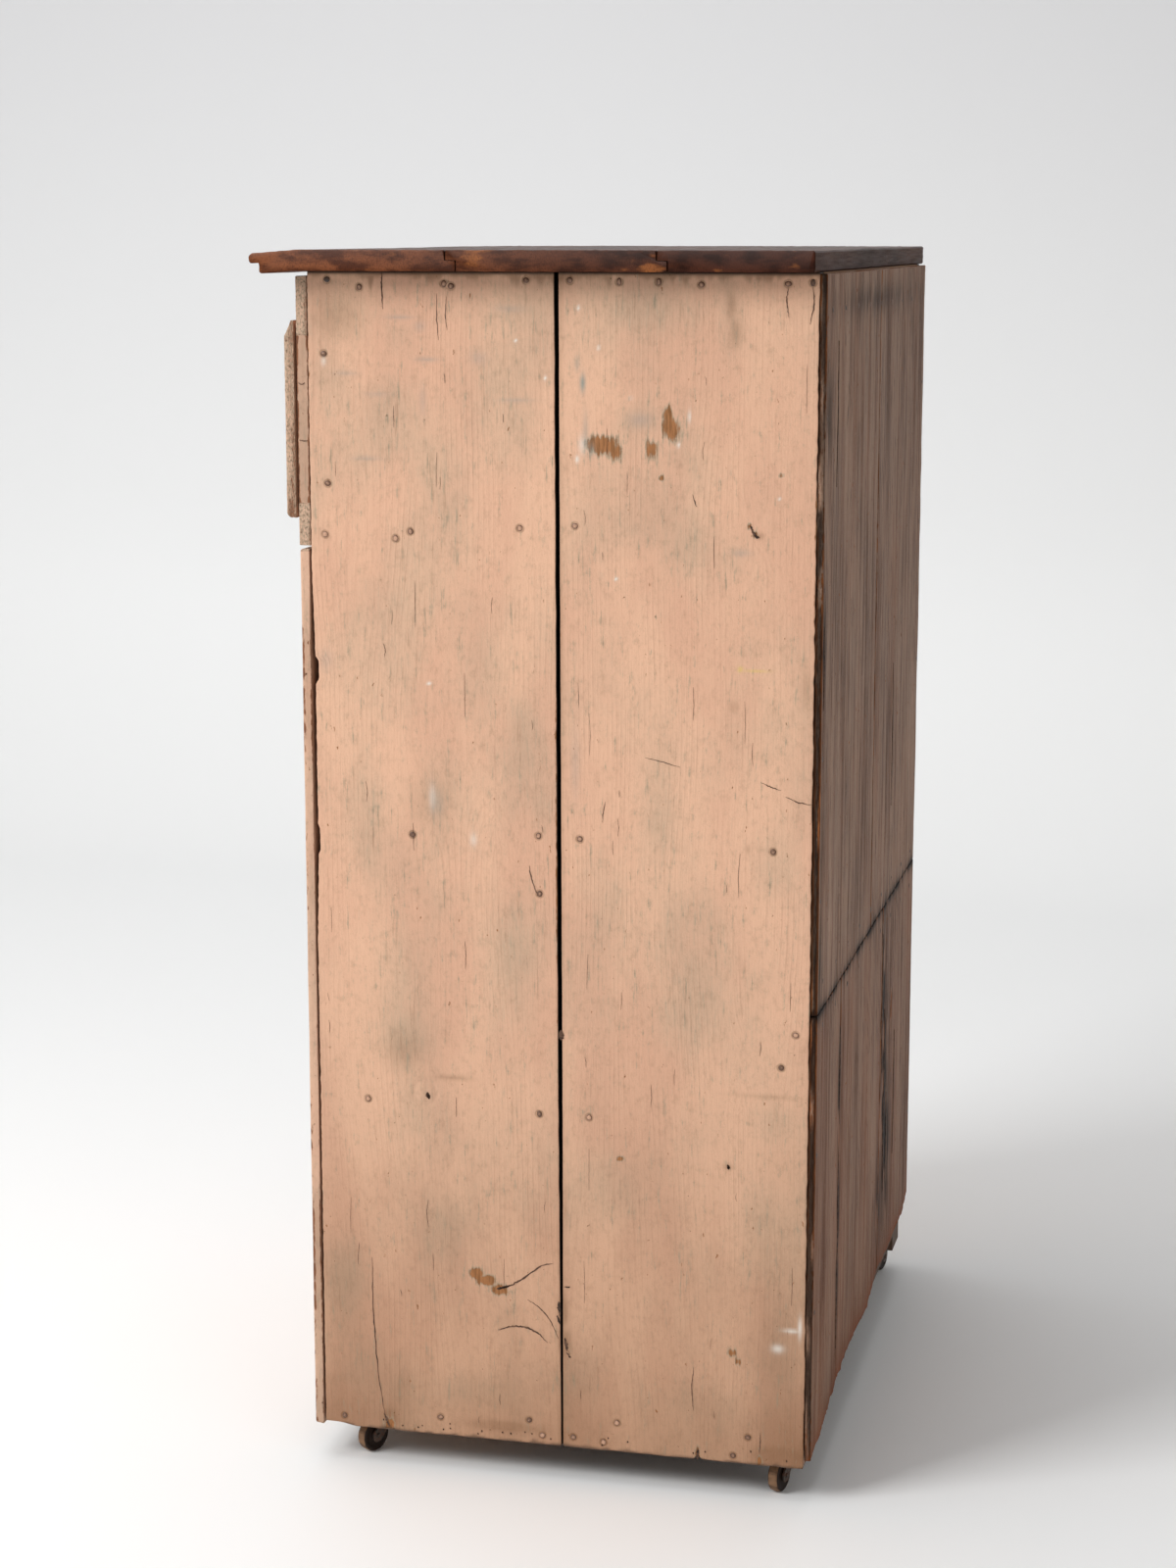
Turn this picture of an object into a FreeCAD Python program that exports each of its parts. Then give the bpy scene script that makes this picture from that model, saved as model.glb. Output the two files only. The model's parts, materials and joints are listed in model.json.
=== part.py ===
import FreeCAD, Part
import os
import re
import Sketcher

# A painted farmhouse cupboard on casters: two plank sides, a shiplapped top, a thin face frame,
# one overlay drawer, one overlay door on the left side, two shelves and a nailed plank back.
# X runs along the width, the front faces -Y, Z is up from the floor. All lengths are millimetres
# and all angles degrees. Levels are heights above the foot of the sides, which clears the floor.

doc = FreeCAD.newDocument("cupboard")

SIZES = (
    # Carcass
    ("carcass_width", 626, "over the outer faces of both sides"),
    ("side_height", 1016, "length of the side boards"),
    ("side_depth", 432, "front edge to rear edge of a side"),
    ("side_thick", 19, "thickness of the side boards"),
    ("side_split_top", 212.8, "width of the front side board at its top"),
    ("side_split_foot", 216.2, "width of the front side board at its foot"),
    ("side_split_gap", 3.2, "open seam between the two boards of a side"),
    ("floor_gap", 31, "foot of the sides above the floor"),
    ("wear_low", 440, "lower end of the worn hollow in the front edge"),
    ("wear_high", 780, "upper end of the worn hollow"),
    ("wear_run", 90, "length over which the hollow runs out at each end"),
    ("wear_depth", 1.8, "depth of the hollow"),
    ("chip_low", 668, "lower end of the chip in the front edge"),
    ("chip_high", 694, "upper end of the chip"),
    ("chip_depth", 4.5, "depth of the chip"),
    ("chip_slope", 6, "length of the chip's sloping ends"),
    ("corner_loss", 38, "height of the rotted rear corner at the left side's foot"),
    # Top
    ("top_thick", 18, "thickness of the top boards"),
    ("top_end_overhang", 27, "top past each side"),
    ("top_front_lip", 41, "front lip past the front edge of the sides"),
    ("top_lap", 9, "width of the half laps between the top boards"),
    ("top_joint_gap", 0.6, "open joint between two top boards"),
    ("top_front_face", 169, "face width of the front board"),
    ("top_middle_face", 176, "face width of the middle board"),
    ("top_droop", 3, "drop of the front board at its lip"),
    ("top_lip_round", 2.5, "rounding of the front lip"),
    # Face frame
    ("frame_thick", 10, "thickness of the rails and short stiles"),
    ("top_rail_drop", 4, "top rail below the head of the sides"),
    ("top_rail_height", 48.5, "height of the top rail"),
    ("drawer_space", 141, "height of the opening between the two rails"),
    ("middle_rail_height", 35.5, "height of the middle rail"),
    ("stile_width", 34, "width of the two short stiles beside the drawer"),
    # Back
    ("back_thick", 6, "thickness of the back boards"),
    ("back_head_drop", 1, "back boards below the head of the sides"),
    ("back_seam_right", 402, "level of the cross seam at the right side"),
    ("back_seam_left", 409, "level of the cross seam at the left side"),
    ("back_joint_gap", 1, "open joint between two back boards"),
    ("back_upper_split", 313, "upper joint from the right side"),
    ("back_lower_split", 134, "first lower joint from the right side"),
    ("back_far_split", 400, "second lower joint from the right side"),
    ("back_rail_thick", 19, "thickness of the rails inside the back"),
    ("back_rail_height", 60, "height of the rails inside the back"),
    ("rot_left_outer", 44, "height of the rotted foot at the left side"),
    ("rot_left_inner", 38, "the same board's foot at its inner edge"),
    ("rot_middle_left", 33, "foot of the middle lower board at its left edge"),
    ("rot_middle_right", 29, "the same board's foot at its right edge"),
    ("rot_right_inner", 24, "foot of the right lower board at its inner edge"),
    ("rot_right_outer", 6, "the same board's foot at the right side"),
    # Cleats, shelves and bottom
    ("cleat_size", 20, "square section of the top cleats"),
    ("shelf_thick", 19, "thickness of shelves and bottom"),
    ("shelf_setback", 14, "shelves behind the front edge of the sides"),
    ("shelf_split", 216, "joint between the two boards of a shelf"),
    ("shelf_joint_gap", 0.6, "open joint between two shelf boards"),
    ("upper_shelf_level", 534.5, "underside of the upper shelf"),
    ("lower_shelf_level", 293, "underside of the lower shelf"),
    ("bottom_level", 20, "underside of the bottom boards"),
    ("bearer_level", 4, "underside of the bearer and caster blocks"),
    ("bearer_width", 66, "width of the bearer under the bottom joint"),
    # Drawer
    ("drawer_lap_top", 12, "drawer front over the top rail"),
    ("drawer_lap_foot", 12.5, "drawer front over the middle rail"),
    ("drawer_front_thick", 9, "thickness of the drawer front"),
    ("drawer_front_gap", 2.5, "shut drawer front ahead of the frame"),
    ("drawer_front_inset", 1, "drawer front inside the outer face of a side"),
    ("drawer_bevel_depth", 6.5, "thickness taken off by the top bevel"),
    ("drawer_bevel_height", 13.5, "height of the top bevel"),
    ("drawer_front_round", 4, "rounding of the drawer front's face edges"),
    ("drawer_side_thick", 11, "thickness of the drawer box's walls"),
    ("drawer_head_clear", 4.7, "drawer box below the top rail"),
    ("drawer_rear_clear", 42.5, "drawer box ahead of the back boards"),
    ("drawer_back_drop", 6, "drawer back below the top of its sides"),
    ("drawer_side_clear", 2, "running clearance beside the drawer box"),
    ("drawer_run_clear", 0.3, "running clearance under the drawer box"),
    ("drawer_bottom_thick", 5, "thickness of the drawer bottom"),
    ("drawer_bottom_rise", 10, "drawer bottom above the edge of the sides"),
    ("drawer_groove", 5, "depth of the groove for the drawer bottom"),
    ("drawer_groove_fit", 0.2, "clearance of the drawer bottom in its groove"),
    ("runner_tread", 32, "width of a drawer runner"),
    ("runner_height", 20, "height of a runner's tread"),
    ("guide_height", 25, "height of the guide above the tread"),
    # Knobs
    ("knob_radius", 14, "turned wooden knobs"),
    ("knob_reach", 19, "knob in front of the face it sits on"),
    ("knob_neck", 8, "length of the knob's neck"),
    ("knob_neck_radius", 6.5, "radius of the knob's neck"),
    ("drawer_knob_spacing", 300, "between the two drawer knobs"),
    ("door_knob_inset", 80, "door knob from the door's free edge"),
    ("door_knob_level", 455, "level of the door knob"),
    # Door
    ("door_gap", 1.5, "door in front of the sides' edges"),
    ("door_thick", 8.5, "thickness of the door boards"),
    ("door_top_clear", 3, "door below the middle rail"),
    ("door_foot_clear", 0.3, "door above the foot of the sides"),
    ("door_joint_gap", 0.6, "open joint between two door boards"),
    ("door_hinge_width", 212, "width of the board that carries the hinges"),
    ("door_latch_width", 208, "width of the board at the free edge"),
    ("door_edge_round", 3, "easing of the door's outer corners"),
    ("batten_width", 60, "width of the door battens"),
    ("upper_batten_drop", 69, "upper batten below the door's upper edge"),
    ("batten_thick", 12, "thickness of the door battens"),
    ("batten_end_clear", 14, "batten inside the face of a side"),
    ("batten_chamfer", 3, "chamfer round the battens' inner face"),
    ("lower_batten_level", 75, "lower edge of the lower batten"),
    # Hinges
    ("hinge_height", 50, "height of a butt hinge"),
    ("hinge_leaf_width", 17, "leaf over the wood"),
    ("hinge_leaf_thick", 1.2, "thickness of a leaf"),
    ("hinge_leaf_gap", 0.3, "between the two closed leaves"),
    ("hinge_offset", 2.9, "pin outside the outer face of the side"),
    ("hinge_barrel_radius", 2.6, "outer radius of the barrel"),
    ("hinge_pin_radius", 1.4, "radius of the pin"),
    ("hinge_pin_fit", 0.05, "radial clearance of the pin in the barrel"),
    ("hinge_pin_overrun", 0.6, "ends of the pin past the barrel"),
    ("knuckle_gap", 0.3, "between two knuckles"),
    ("upper_hinge_drop", 74, "upper hinge below the door's upper edge"),
    ("lower_hinge_level", 80, "lower edge of the lower hinge"),
    # Turn button
    ("button_length", 50, "wooden turn button"),
    ("button_width", 16, "height of the button when it lies flat"),
    ("button_thick", 9, "thickness of the button"),
    ("button_pivot", 8, "pivot from the button's end"),
    ("button_standoff", 0.4, "button in front of the middle rail"),
    ("button_corner", 4, "chamfer of the button's corners"),
    ("button_inset", 120, "pivot from the right end of the rail"),
    ("screw_radius", 2, "shank of the button's screw"),
    ("screw_fit", 0.05, "radial clearance of the shank"),
    ("screw_head_radius", 4.2, "head of the screw"),
    ("screw_head_height", 2, "height of the head"),
    ("screw_head_gap", 0.1, "head in front of the button"),
    # Casters
    ("caster_inset", 38, "swivel axis inside the outer face of a side"),
    ("caster_front", 43, "front swivel axis behind the front edge of the sides"),
    ("caster_rear", 22, "rear swivel axis ahead of the rear edge of the sides"),
    ("caster_trail", 14, "axle behind the swivel axis"),
    ("front_right_turn", -30, "direction of trail, from +X toward +Y"),
    ("rear_right_turn", -14, "direction of trail, from +X toward +Y"),
    ("front_left_turn", 205, "direction of trail, from +X toward +Y"),
    ("rear_left_turn", 168, "direction of trail, from +X toward +Y"),
    ("block_size", 44, "square of a caster block"),
    ("wheel_radius", 15, "wooden wheel"),
    ("wheel_width", 10, "wheel over its tread"),
    ("wheel_clear", 1.2, "fork clear of the tread"),
    ("axle_radius", 2, "plain axle pin"),
    ("axle_fit", 0.05, "radial clearance of wheel and fork on the axle"),
    ("axle_overrun", 1, "ends of the axle past the fork's arms"),
    ("arm_thick", 1.6, "thickness of a fork arm"),
    ("arm_clear", 0.6, "fork arm beside the wheel"),
    ("arm_reach", 5.5, "arm past the axle"),
    ("crown_reach", 7.2, "crown of the fork ahead of the stem"),
    ("crown_height", 3.5, "height of the crown's front face"),
    ("stem_radius", 4, "swivel stem"),
    ("stem_length", 26, "stem above the crown"),
    ("stem_fit", 0.05, "radial clearance of the stem in its socket"),
    ("swivel_gap", 0.2, "crown below the socket's flange"),
    ("socket_radius", 6, "socket sleeve"),
    ("socket_fit", 0.1, "radial clearance of the sleeve in the wood"),
    ("socket_length", 29, "sleeve above its flange"),
    ("flange_radius", 11, "flange under the block"),
    ("flange_thick", 1, "thickness of the flange"),
)

sheet = doc.addObject("Spreadsheet::Sheet", "sizes")
for row, (name, value, meaning) in enumerate(SIZES, start=1):
    sheet.set(f"A{row}", meaning)
    sheet.set(f"B{row}", str(value))
    sheet.setAlias(f"B{row}", name)
doc.recompute()
NAMES = {name for name, value, meaning in SIZES}

# Places that several pieces share, worked out from the sizes above.
HALF = "(carcass_width / 2)"
INSIDE = "(carcass_width / 2 - side_thick)"
FRONT = "(-(side_depth + back_thick - top_front_lip) / 2)"
FRAME_FACE = f"({FRONT} - frame_thick)"
REAR = f"({FRONT} + side_depth)"
TOP_RAIL_LOW = "(side_height - top_rail_drop - top_rail_height)"
RUNNER_TOP = f"({TOP_RAIL_LOW} - drawer_space)"
MIDDLE_RAIL_LOW = f"({RUNNER_TOP} - middle_rail_height)"
DRAWER_BACK_FACE = f"({FRAME_FACE} - drawer_front_gap)"
DRAWER_HALF = "(carcass_width / 2 - stile_width - drawer_side_clear)"
DRAWER_FOOT = f"({RUNNER_TOP} + drawer_run_clear)"
DRAWER_FRONT_LOW = f"({RUNNER_TOP} - drawer_lap_foot)"
DRAWER_FRONT_HEIGHT = "(drawer_space + drawer_lap_foot + drawer_lap_top)"
BOX_HEIGHT = "(drawer_space - drawer_head_clear - drawer_run_clear)"
BOX_DEPTH = f"({REAR} - drawer_rear_clear - {DRAWER_BACK_FACE})"
DOOR_BACK = f"({FRONT} - door_gap)"
DOOR_FACE = f"({FRONT} - door_gap - door_thick)"
DOOR_HEAD = f"({MIDDLE_RAIL_LOW} - door_top_clear)"
DOOR_HEIGHT = f"({DOOR_HEAD} - door_foot_clear)"
HINGE_LEVELS = {"upper": f"({DOOR_HEAD} - upper_hinge_drop - hinge_height)",
                "lower": "lower_hinge_level"}
BATTEN_LEVELS = {"upper": f"({DOOR_HEAD} - upper_batten_drop - batten_width)",
                 "lower": "lower_batten_level"}
MORTISE = "(hinge_leaf_thick + (hinge_leaf_gap - door_gap) / 2)"


def bound(expression):
    """The expression with every size's name made a reference to its cell."""
    return re.sub(r"[a-z_]+", lambda word: f"sizes.{word.group()}" if word.group() in NAMES
                  else word.group(), expression)


def size(name):
    """The plain number in a cell of the sheet."""
    return float(sheet.get(name))


def put(piece, at, turn=None):
    """Bind the piece's place, given from the floor, and its turn about Z."""
    for axis, expression in zip("xyz", at):
        piece.setExpression(f"Placement.Base.{axis}", bound(expression))
    if turn:
        piece.Placement.Rotation = FreeCAD.Rotation(FreeCAD.Vector(0, 0, 1), 10)
        piece.setExpression("Placement.Rotation.Angle", bound(turn))


def new_body(label):
    body = doc.addObject("PartDesign::Body", label)
    body.Label = label
    return body


def new_sketch(body, plane, lift=None):
    """A sketch on one of the body's own origin planes, lifted along the plane's normal."""
    sketch = body.newObject("Sketcher::SketchObject", "outline")
    support = next(item for item in body.Origin.OriginFeatures if item.Role == plane)
    sketch.AttachmentSupport = (support, [""])
    sketch.MapMode = "FlatFace"
    if lift:
        sketch.setExpression("AttachmentOffset.Base.z", bound(lift))
    return sketch


def hold(sketch, element, point, spot, start):
    """Hold one point of the sketch at a pair of expressions."""
    for axis, expression, value in zip("XY", spot, start):
        if expression == "0":
            line = -2 if axis == "X" else -1
            sketch.addConstraint(Sketcher.Constraint("PointOnObject", element, point, line))
        else:
            index = sketch.addConstraint(
                Sketcher.Constraint(f"Distance{axis}", -1, 1, element, point, value))
            sketch.setExpression(f"Constraints[{index}]", bound(expression))


def draw_outline(sketch, corners):
    """A closed outline of straight lines through the corners."""
    count = len(corners)
    starts = [(1.0 + index, (1.0 + index) ** 2) for index in range(count)]
    spots = [FreeCAD.Vector(across, up, 0) for across, up in starts]
    for index in range(count):
        sketch.addGeometry(Part.LineSegment(spots[index], spots[(index + 1) % count]), False)
    for index in range(count):
        sketch.addConstraint(
            Sketcher.Constraint("Coincident", index, 2, (index + 1) % count, 1))
    for index, corner in enumerate(corners):
        hold(sketch, index, 1, corner, starts[index])


def draw_circle(sketch, centre, radius):
    circle = Part.Circle(FreeCAD.Vector(1, 1, 0), FreeCAD.Vector(0, 0, 1), 1)
    element = sketch.addGeometry(circle, False)
    hold(sketch, element, 3, centre, (1.0, 1.0))
    index = sketch.addConstraint(Sketcher.Constraint("Radius", element, 1))
    sketch.setExpression(f"Constraints[{index}]", bound(radius))


def add_feature(body, kind, sketch, length, side="One side", backwards=False):
    feature = body.newObject(f"PartDesign::{kind}", kind.lower())
    feature.Profile = sketch
    feature.SideType = side
    feature.Reversed = backwards
    feature.setExpression("Length", bound(length))
    sketch.Visibility = False
    return feature


def cut(body, sketch, length, side="One side", backwards=False):
    """A pocket, which has to take wood away."""
    doc.recompute()
    before = body.Shape.Volume
    feature = add_feature(body, "Pocket", sketch, length, side, backwards)
    doc.recompute()
    if body.Shape.Volume >= before - 1e-6:
        raise RuntimeError(f"a pocket in {body.Label} removes nothing")
    return feature


def revolve(body, sketch):
    """Turn the sketch a full circle about its own vertical axis."""
    feature = body.newObject("PartDesign::Revolution", "revolution")
    feature.Profile = sketch
    feature.ReferenceAxis = (sketch, ["V_Axis"])
    feature.Angle = 360
    sketch.Visibility = False
    return feature


TOUCH = 0.01


def edges_where(body, test):
    """Names of the body's edges whose middle and run pass the test."""
    doc.recompute()
    names = []
    for index, edge in enumerate(body.Tip.Shape.Edges, start=1):
        first = edge.valueAt(edge.FirstParameter)
        last = edge.valueAt(edge.LastParameter)
        if test((first + last) * 0.5, last - first):
            names.append(f"Edge{index}")
    return names


def ease(body, kind, names, amount):
    """Fillet or chamfer the named edges of the body."""
    base = body.Tip
    feature = body.newObject(f"PartDesign::{kind}", kind.lower())
    feature.Base = (base, names)
    feature.setExpression("Radius" if kind == "Fillet" else "Size", bound(amount))
    return feature


def rectangle(width, height):
    return [("0", "0"), (width, "0"), (width, height), ("0", height)]


def flipped(outline, width):
    """The outline mirrored left to right inside its own width."""
    return [(f"{width} - ({across})", up) for across, up in reversed(outline)]


GRAIN_PLANES = {"X": "YZ_Plane", "Y": "XZ_Plane", "Z": "XY_Plane"}


def board(label, grain, outline, length, at):
    """A board of the given cross section whose grain runs along X, Y or Z."""
    body = new_body(label)
    sketch = new_sketch(body, GRAIN_PLANES[grain])
    draw_outline(sketch, outline)
    add_feature(body, "Pad", sketch, length, backwards=grain == "Y")
    put(body, at)
    return body


def panel(label, plane, outline, thickness, at):
    """A board drawn by its broad face, in the XZ or the YZ plane."""
    body = new_body(label)
    sketch = new_sketch(body, plane)
    draw_outline(sketch, outline)
    add_feature(body, "Pad", sketch, thickness, backwards=plane == "XZ_Plane")
    put(body, at)
    return body


def group(label, members):
    """Several like solids kept together as one piece of hardware."""
    compound = doc.addObject("Part::Compound", label)
    compound.Label = label
    compound.Links = members
    return compound


def primitive(kind, name, lengths, at):
    """A box or cylinder with its sizes and place bound to the sheet."""
    solid = doc.addObject(f"Part::{kind}", name)
    for dimension, expression in lengths.items():
        solid.setExpression(dimension, bound(expression))
    put(solid, at)
    return solid


# Sides: two boards each, with an open seam that leans a little. The right side is worn hollow
# and chipped along its front edge, and the left side has lost its rear corner at the foot.
plain_edge = [("0", "side_height"), ("0", "0")]
worn_edge = [
    ("0", "side_height"),
    ("0", "wear_high"),
    ("wear_depth", "wear_high - wear_run"),
    ("wear_depth", "chip_high"),
    ("chip_depth", "chip_high - chip_slope"),
    ("chip_depth", "chip_low + chip_slope"),
    ("wear_depth", "chip_low"),
    ("wear_depth", "wear_low + wear_run"),
    ("0", "wear_low"),
    ("0", "0"),
]
rear_foot = {
    "right": [("side_depth", "0")],
    "left": [("side_depth - corner_loss", "0"), ("side_depth", "corner_loss")],
}
side_boards = {}
for hand, front_edge, side_x in (
        ("right", worn_edge, INSIDE), ("left", plain_edge, f"-{HALF}")):
    side_boards[hand] = panel(
        f"side_{hand}_front_board", "YZ_Plane",
        front_edge + [("side_split_foot", "0"), ("side_split_top", "side_height")],
        "side_thick", (side_x, FRONT, "floor_gap"))
    panel(
        f"side_{hand}_rear_board", "YZ_Plane",
        [("side_split_foot + side_split_gap", "0")] + rear_foot[hand]
        + [("side_depth", "side_height"), ("side_split_top + side_split_gap", "side_height")],
        "side_thick", (side_x, FRONT, "floor_gap"))

# The left front board's edge is let in for the two fixed hinge leaves.
for level in HINGE_LEVELS.values():
    mortise = new_sketch(side_boards["left"], "XZ_Plane")
    draw_outline(mortise, [("0", level), ("hinge_leaf_width", level),
                           ("hinge_leaf_width", f"{level} + hinge_height"),
                           ("0", f"{level} + hinge_height")])
    cut(side_boards["left"], mortise, MORTISE)

# Top: three boards half lapped together, upper lip in front and lower lip behind. The front
# board droops toward its free lip, from the front edge of the sides on.
TOP_SPAN = "(carcass_width + 2 * top_end_overhang)"
TOP_LEVEL = "floor_gap + side_height"
LIP_FALL = "(top_droop * (top_front_lip - top_lap) / top_front_lip)"


def rear_lap(face):
    """The rear edge of a lapped board whose face has the given width."""
    joint = f"{face} - top_joint_gap"
    return [(f"{joint} + top_lap", "0"), (f"{joint} + top_lap", "top_thick / 2"),
            (joint, "top_thick / 2"), (joint, "top_thick")]


FRONT_LAP = [("0", "top_thick"), ("0", "top_thick / 2"), ("top_lap", "top_thick / 2"),
             ("top_lap", "0")]
top_front = board(
    "top_front_board", "X",
    [("top_front_lip", "top_thick"), ("0", "top_thick - top_droop"),
     ("0", "top_thick / 2 - top_droop"), ("top_lap", f"top_thick / 2 - {LIP_FALL}"),
     ("top_lap", f"-{LIP_FALL}"), ("top_front_lip", "0")] + rear_lap("top_front_face"),
    TOP_SPAN, (f"-{TOP_SPAN} / 2", f"{FRONT} - top_front_lip", TOP_LEVEL))
ease(top_front, "Fillet", edges_where(
    top_front, lambda middle, run: abs(middle.y) < TOUCH and abs(run.z) < TOUCH),
    "top_lip_round")
board("top_middle_board", "X", FRONT_LAP + rear_lap("top_middle_face"), TOP_SPAN,
      (f"-{TOP_SPAN} / 2", f"{FRONT} - top_front_lip + top_front_face", TOP_LEVEL))
REAR_FACE = "(side_depth + top_front_lip - top_front_face - top_middle_face)"
board("top_rear_board", "X", FRONT_LAP + [(REAR_FACE, "0"), (REAR_FACE, "top_thick")],
      TOP_SPAN,
      (f"-{TOP_SPAN} / 2", f"{FRONT} - top_front_lip + top_front_face + top_middle_face",
       TOP_LEVEL))

# Cleats inside the head of both sides, which the top is nailed to.
group("top_cleats", [
    board(f"top_cleat_{hand}", "Y", rectangle("cleat_size", "cleat_size"),
          "side_depth - back_rail_thick",
          (cleat_x, FRONT, "floor_gap + side_height - cleat_size"))
    for hand, cleat_x in (("right", f"{INSIDE} - cleat_size"), ("left", f"-{INSIDE}"))])

# Two rails inside the back: one at the head, one behind the seam of the back boards.
for name, level in (
        ("top", "side_height - back_rail_height"),
        ("middle", "(back_seam_left + back_seam_right - back_rail_height) / 2")):
    board(f"back_rail_{name}", "X", rectangle("back_rail_thick", "back_rail_height"),
          f"2 * {INSIDE}", (f"-{INSIDE}", f"{REAR} - back_rail_thick", f"floor_gap + {level}"))


# Back: wide boards above a cross seam that falls toward the right, narrower ones below it, with
# rotted feet that end at different heights.
def seam(across):
    """Level of the cross seam, measured from the left side."""
    return ("(back_seam_left + (back_seam_right - back_seam_left)"
            f" * ({across}) / carcass_width)")


def back_board(label, left, right, foot_left, foot_right, head_left, head_right):
    panel(label, "XZ_Plane",
          [(left, foot_left), (right, foot_right), (right, head_right), (left, head_left)],
          "back_thick", (f"-{HALF}", REAR, "floor_gap"))


UPPER_SPLIT = "(carcass_width - back_upper_split)"
NEAR_SPLIT = "(carcass_width - back_lower_split)"
FAR_SPLIT = "(carcass_width - back_far_split)"
BACK_HEAD = "side_height - back_head_drop"
for label, left, right in (
        ("back_upper_left_board", "0", f"{UPPER_SPLIT} - back_joint_gap"),
        ("back_upper_right_board", UPPER_SPLIT, "carcass_width")):
    back_board(label, left, right, f"{seam(left)} + back_joint_gap",
               f"{seam(right)} + back_joint_gap", BACK_HEAD, BACK_HEAD)
for name, left, right, foot_left, foot_right in (
        ("left", "0", f"{FAR_SPLIT} - back_joint_gap", "rot_left_outer", "rot_left_inner"),
        ("middle", FAR_SPLIT, f"{NEAR_SPLIT} - back_joint_gap",
         "rot_middle_left", "rot_middle_right"),
        ("right", NEAR_SPLIT, "carcass_width", "rot_right_inner", "rot_right_outer")):
    back_board(f"back_lower_{name}_board", left, right, foot_left, foot_right,
               seam(left), seam(right))

# Shelves and bottom: two boards each, across the full width between the sides.
SHELF_REAR = "(side_depth - shelf_split - shelf_joint_gap)"
for name, level, setback in (
        ("upper_shelf", "upper_shelf_level", "shelf_setback"),
        ("lower_shelf", "lower_shelf_level", "shelf_setback"),
        ("bottom", "bottom_level", "0")):
    front_part = board(
        f"{name}_front_board", "X", rectangle(f"shelf_split - {setback}", "shelf_thick"),
        f"2 * {INSIDE}", (f"-{INSIDE}", f"{FRONT} + {setback}", f"floor_gap + {level}"))
    rear_part = board(
        f"{name}_rear_board", "X", rectangle(SHELF_REAR, "shelf_thick"),
        f"2 * {INSIDE}",
        (f"-{INSIDE}", f"{FRONT} + shelf_split + shelf_joint_gap", f"floor_gap + {level}"))
board("bottom_bearer", "X", rectangle("bearer_width", "bottom_level - bearer_level"),
      f"2 * {INSIDE}",
      (f"-{INSIDE}", f"{FRONT} + shelf_split - bearer_width / 2",
       "floor_gap + bearer_level"))

# The sleeves of the casters reach up into blind holes in the bottom boards, which the loop
# above left in front_part and rear_part.
SLEEVE_HOLE = "socket_radius + socket_fit"
SLEEVE_RISE = "(bearer_level + socket_length - bottom_level + socket_fit)"
for part, depth_in in ((front_part, "caster_front"),
                       (rear_part, f"{SHELF_REAR} - caster_rear")):
    for across in ("caster_inset - side_thick",
                   f"2 * {INSIDE} - caster_inset + side_thick"):
        hole = new_sketch(part, "XY_Plane")
        draw_circle(hole, (across, depth_in), SLEEVE_HOLE)
        cut(part, hole, SLEEVE_RISE, backwards=True)

# Face frame: both rails run over the front edges of the sides, and short stiles stand between
# them beside the drawer. Below the middle rail the door takes the frame's place.
for name, level, height in (
        ("top", TOP_RAIL_LOW, "top_rail_height"),
        ("middle", MIDDLE_RAIL_LOW, "middle_rail_height")):
    rail = board(f"front_{name}_rail", "X", rectangle("frame_thick", height),
                 "carcass_width", (f"-{HALF}", FRAME_FACE, f"floor_gap + {level}"))
for hand, stile_x in (("right", f"{HALF} - stile_width"), ("left", f"-{HALF}")):
    board(f"front_stile_{hand}", "Z", rectangle("stile_width", "frame_thick"),
          "drawer_space", (stile_x, FRAME_FACE, f"floor_gap + {RUNNER_TOP}"))

# Drawer runners: an L section with a tread under the drawer and a guide beside it, flush with
# the inner edge of the short stile.
runner = [
    ("0", "0"), ("runner_tread", "0"), ("runner_tread", "runner_height + guide_height"),
    ("runner_tread - (stile_width - side_thick)", "runner_height + guide_height"),
    ("runner_tread - (stile_width - side_thick)", "runner_height"), ("0", "runner_height"),
]
for hand, section, runner_x in (
        ("right", runner, f"{INSIDE} - runner_tread"),
        ("left", flipped(runner, "runner_tread"), f"-{INSIDE}")):
    board(f"drawer_runner_{hand}", "Y", section, "side_depth - back_rail_thick",
          (runner_x, FRONT, f"floor_gap + {RUNNER_TOP} - runner_height"))

# Drawer: an overlay front as wide as the cupboard, bevelled along its top, on a grooved box.
drawer_front = board(
    "drawer_front", "X",
    [("0", "0"), ("drawer_front_thick", "0"),
     ("drawer_front_thick", DRAWER_FRONT_HEIGHT),
     ("drawer_bevel_depth", DRAWER_FRONT_HEIGHT),
     ("0", f"{DRAWER_FRONT_HEIGHT} - drawer_bevel_height")],
    "carcass_width - 2 * drawer_front_inset",
    (f"-{HALF} + drawer_front_inset", f"{DRAWER_BACK_FACE} - drawer_front_thick",
     f"floor_gap + {DRAWER_FRONT_LOW}"))
ease(drawer_front, "Fillet", edges_where(
    drawer_front, lambda middle, run: abs(middle.y) < TOUCH and abs(run.z) < TOUCH),
    "drawer_front_round")

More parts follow.
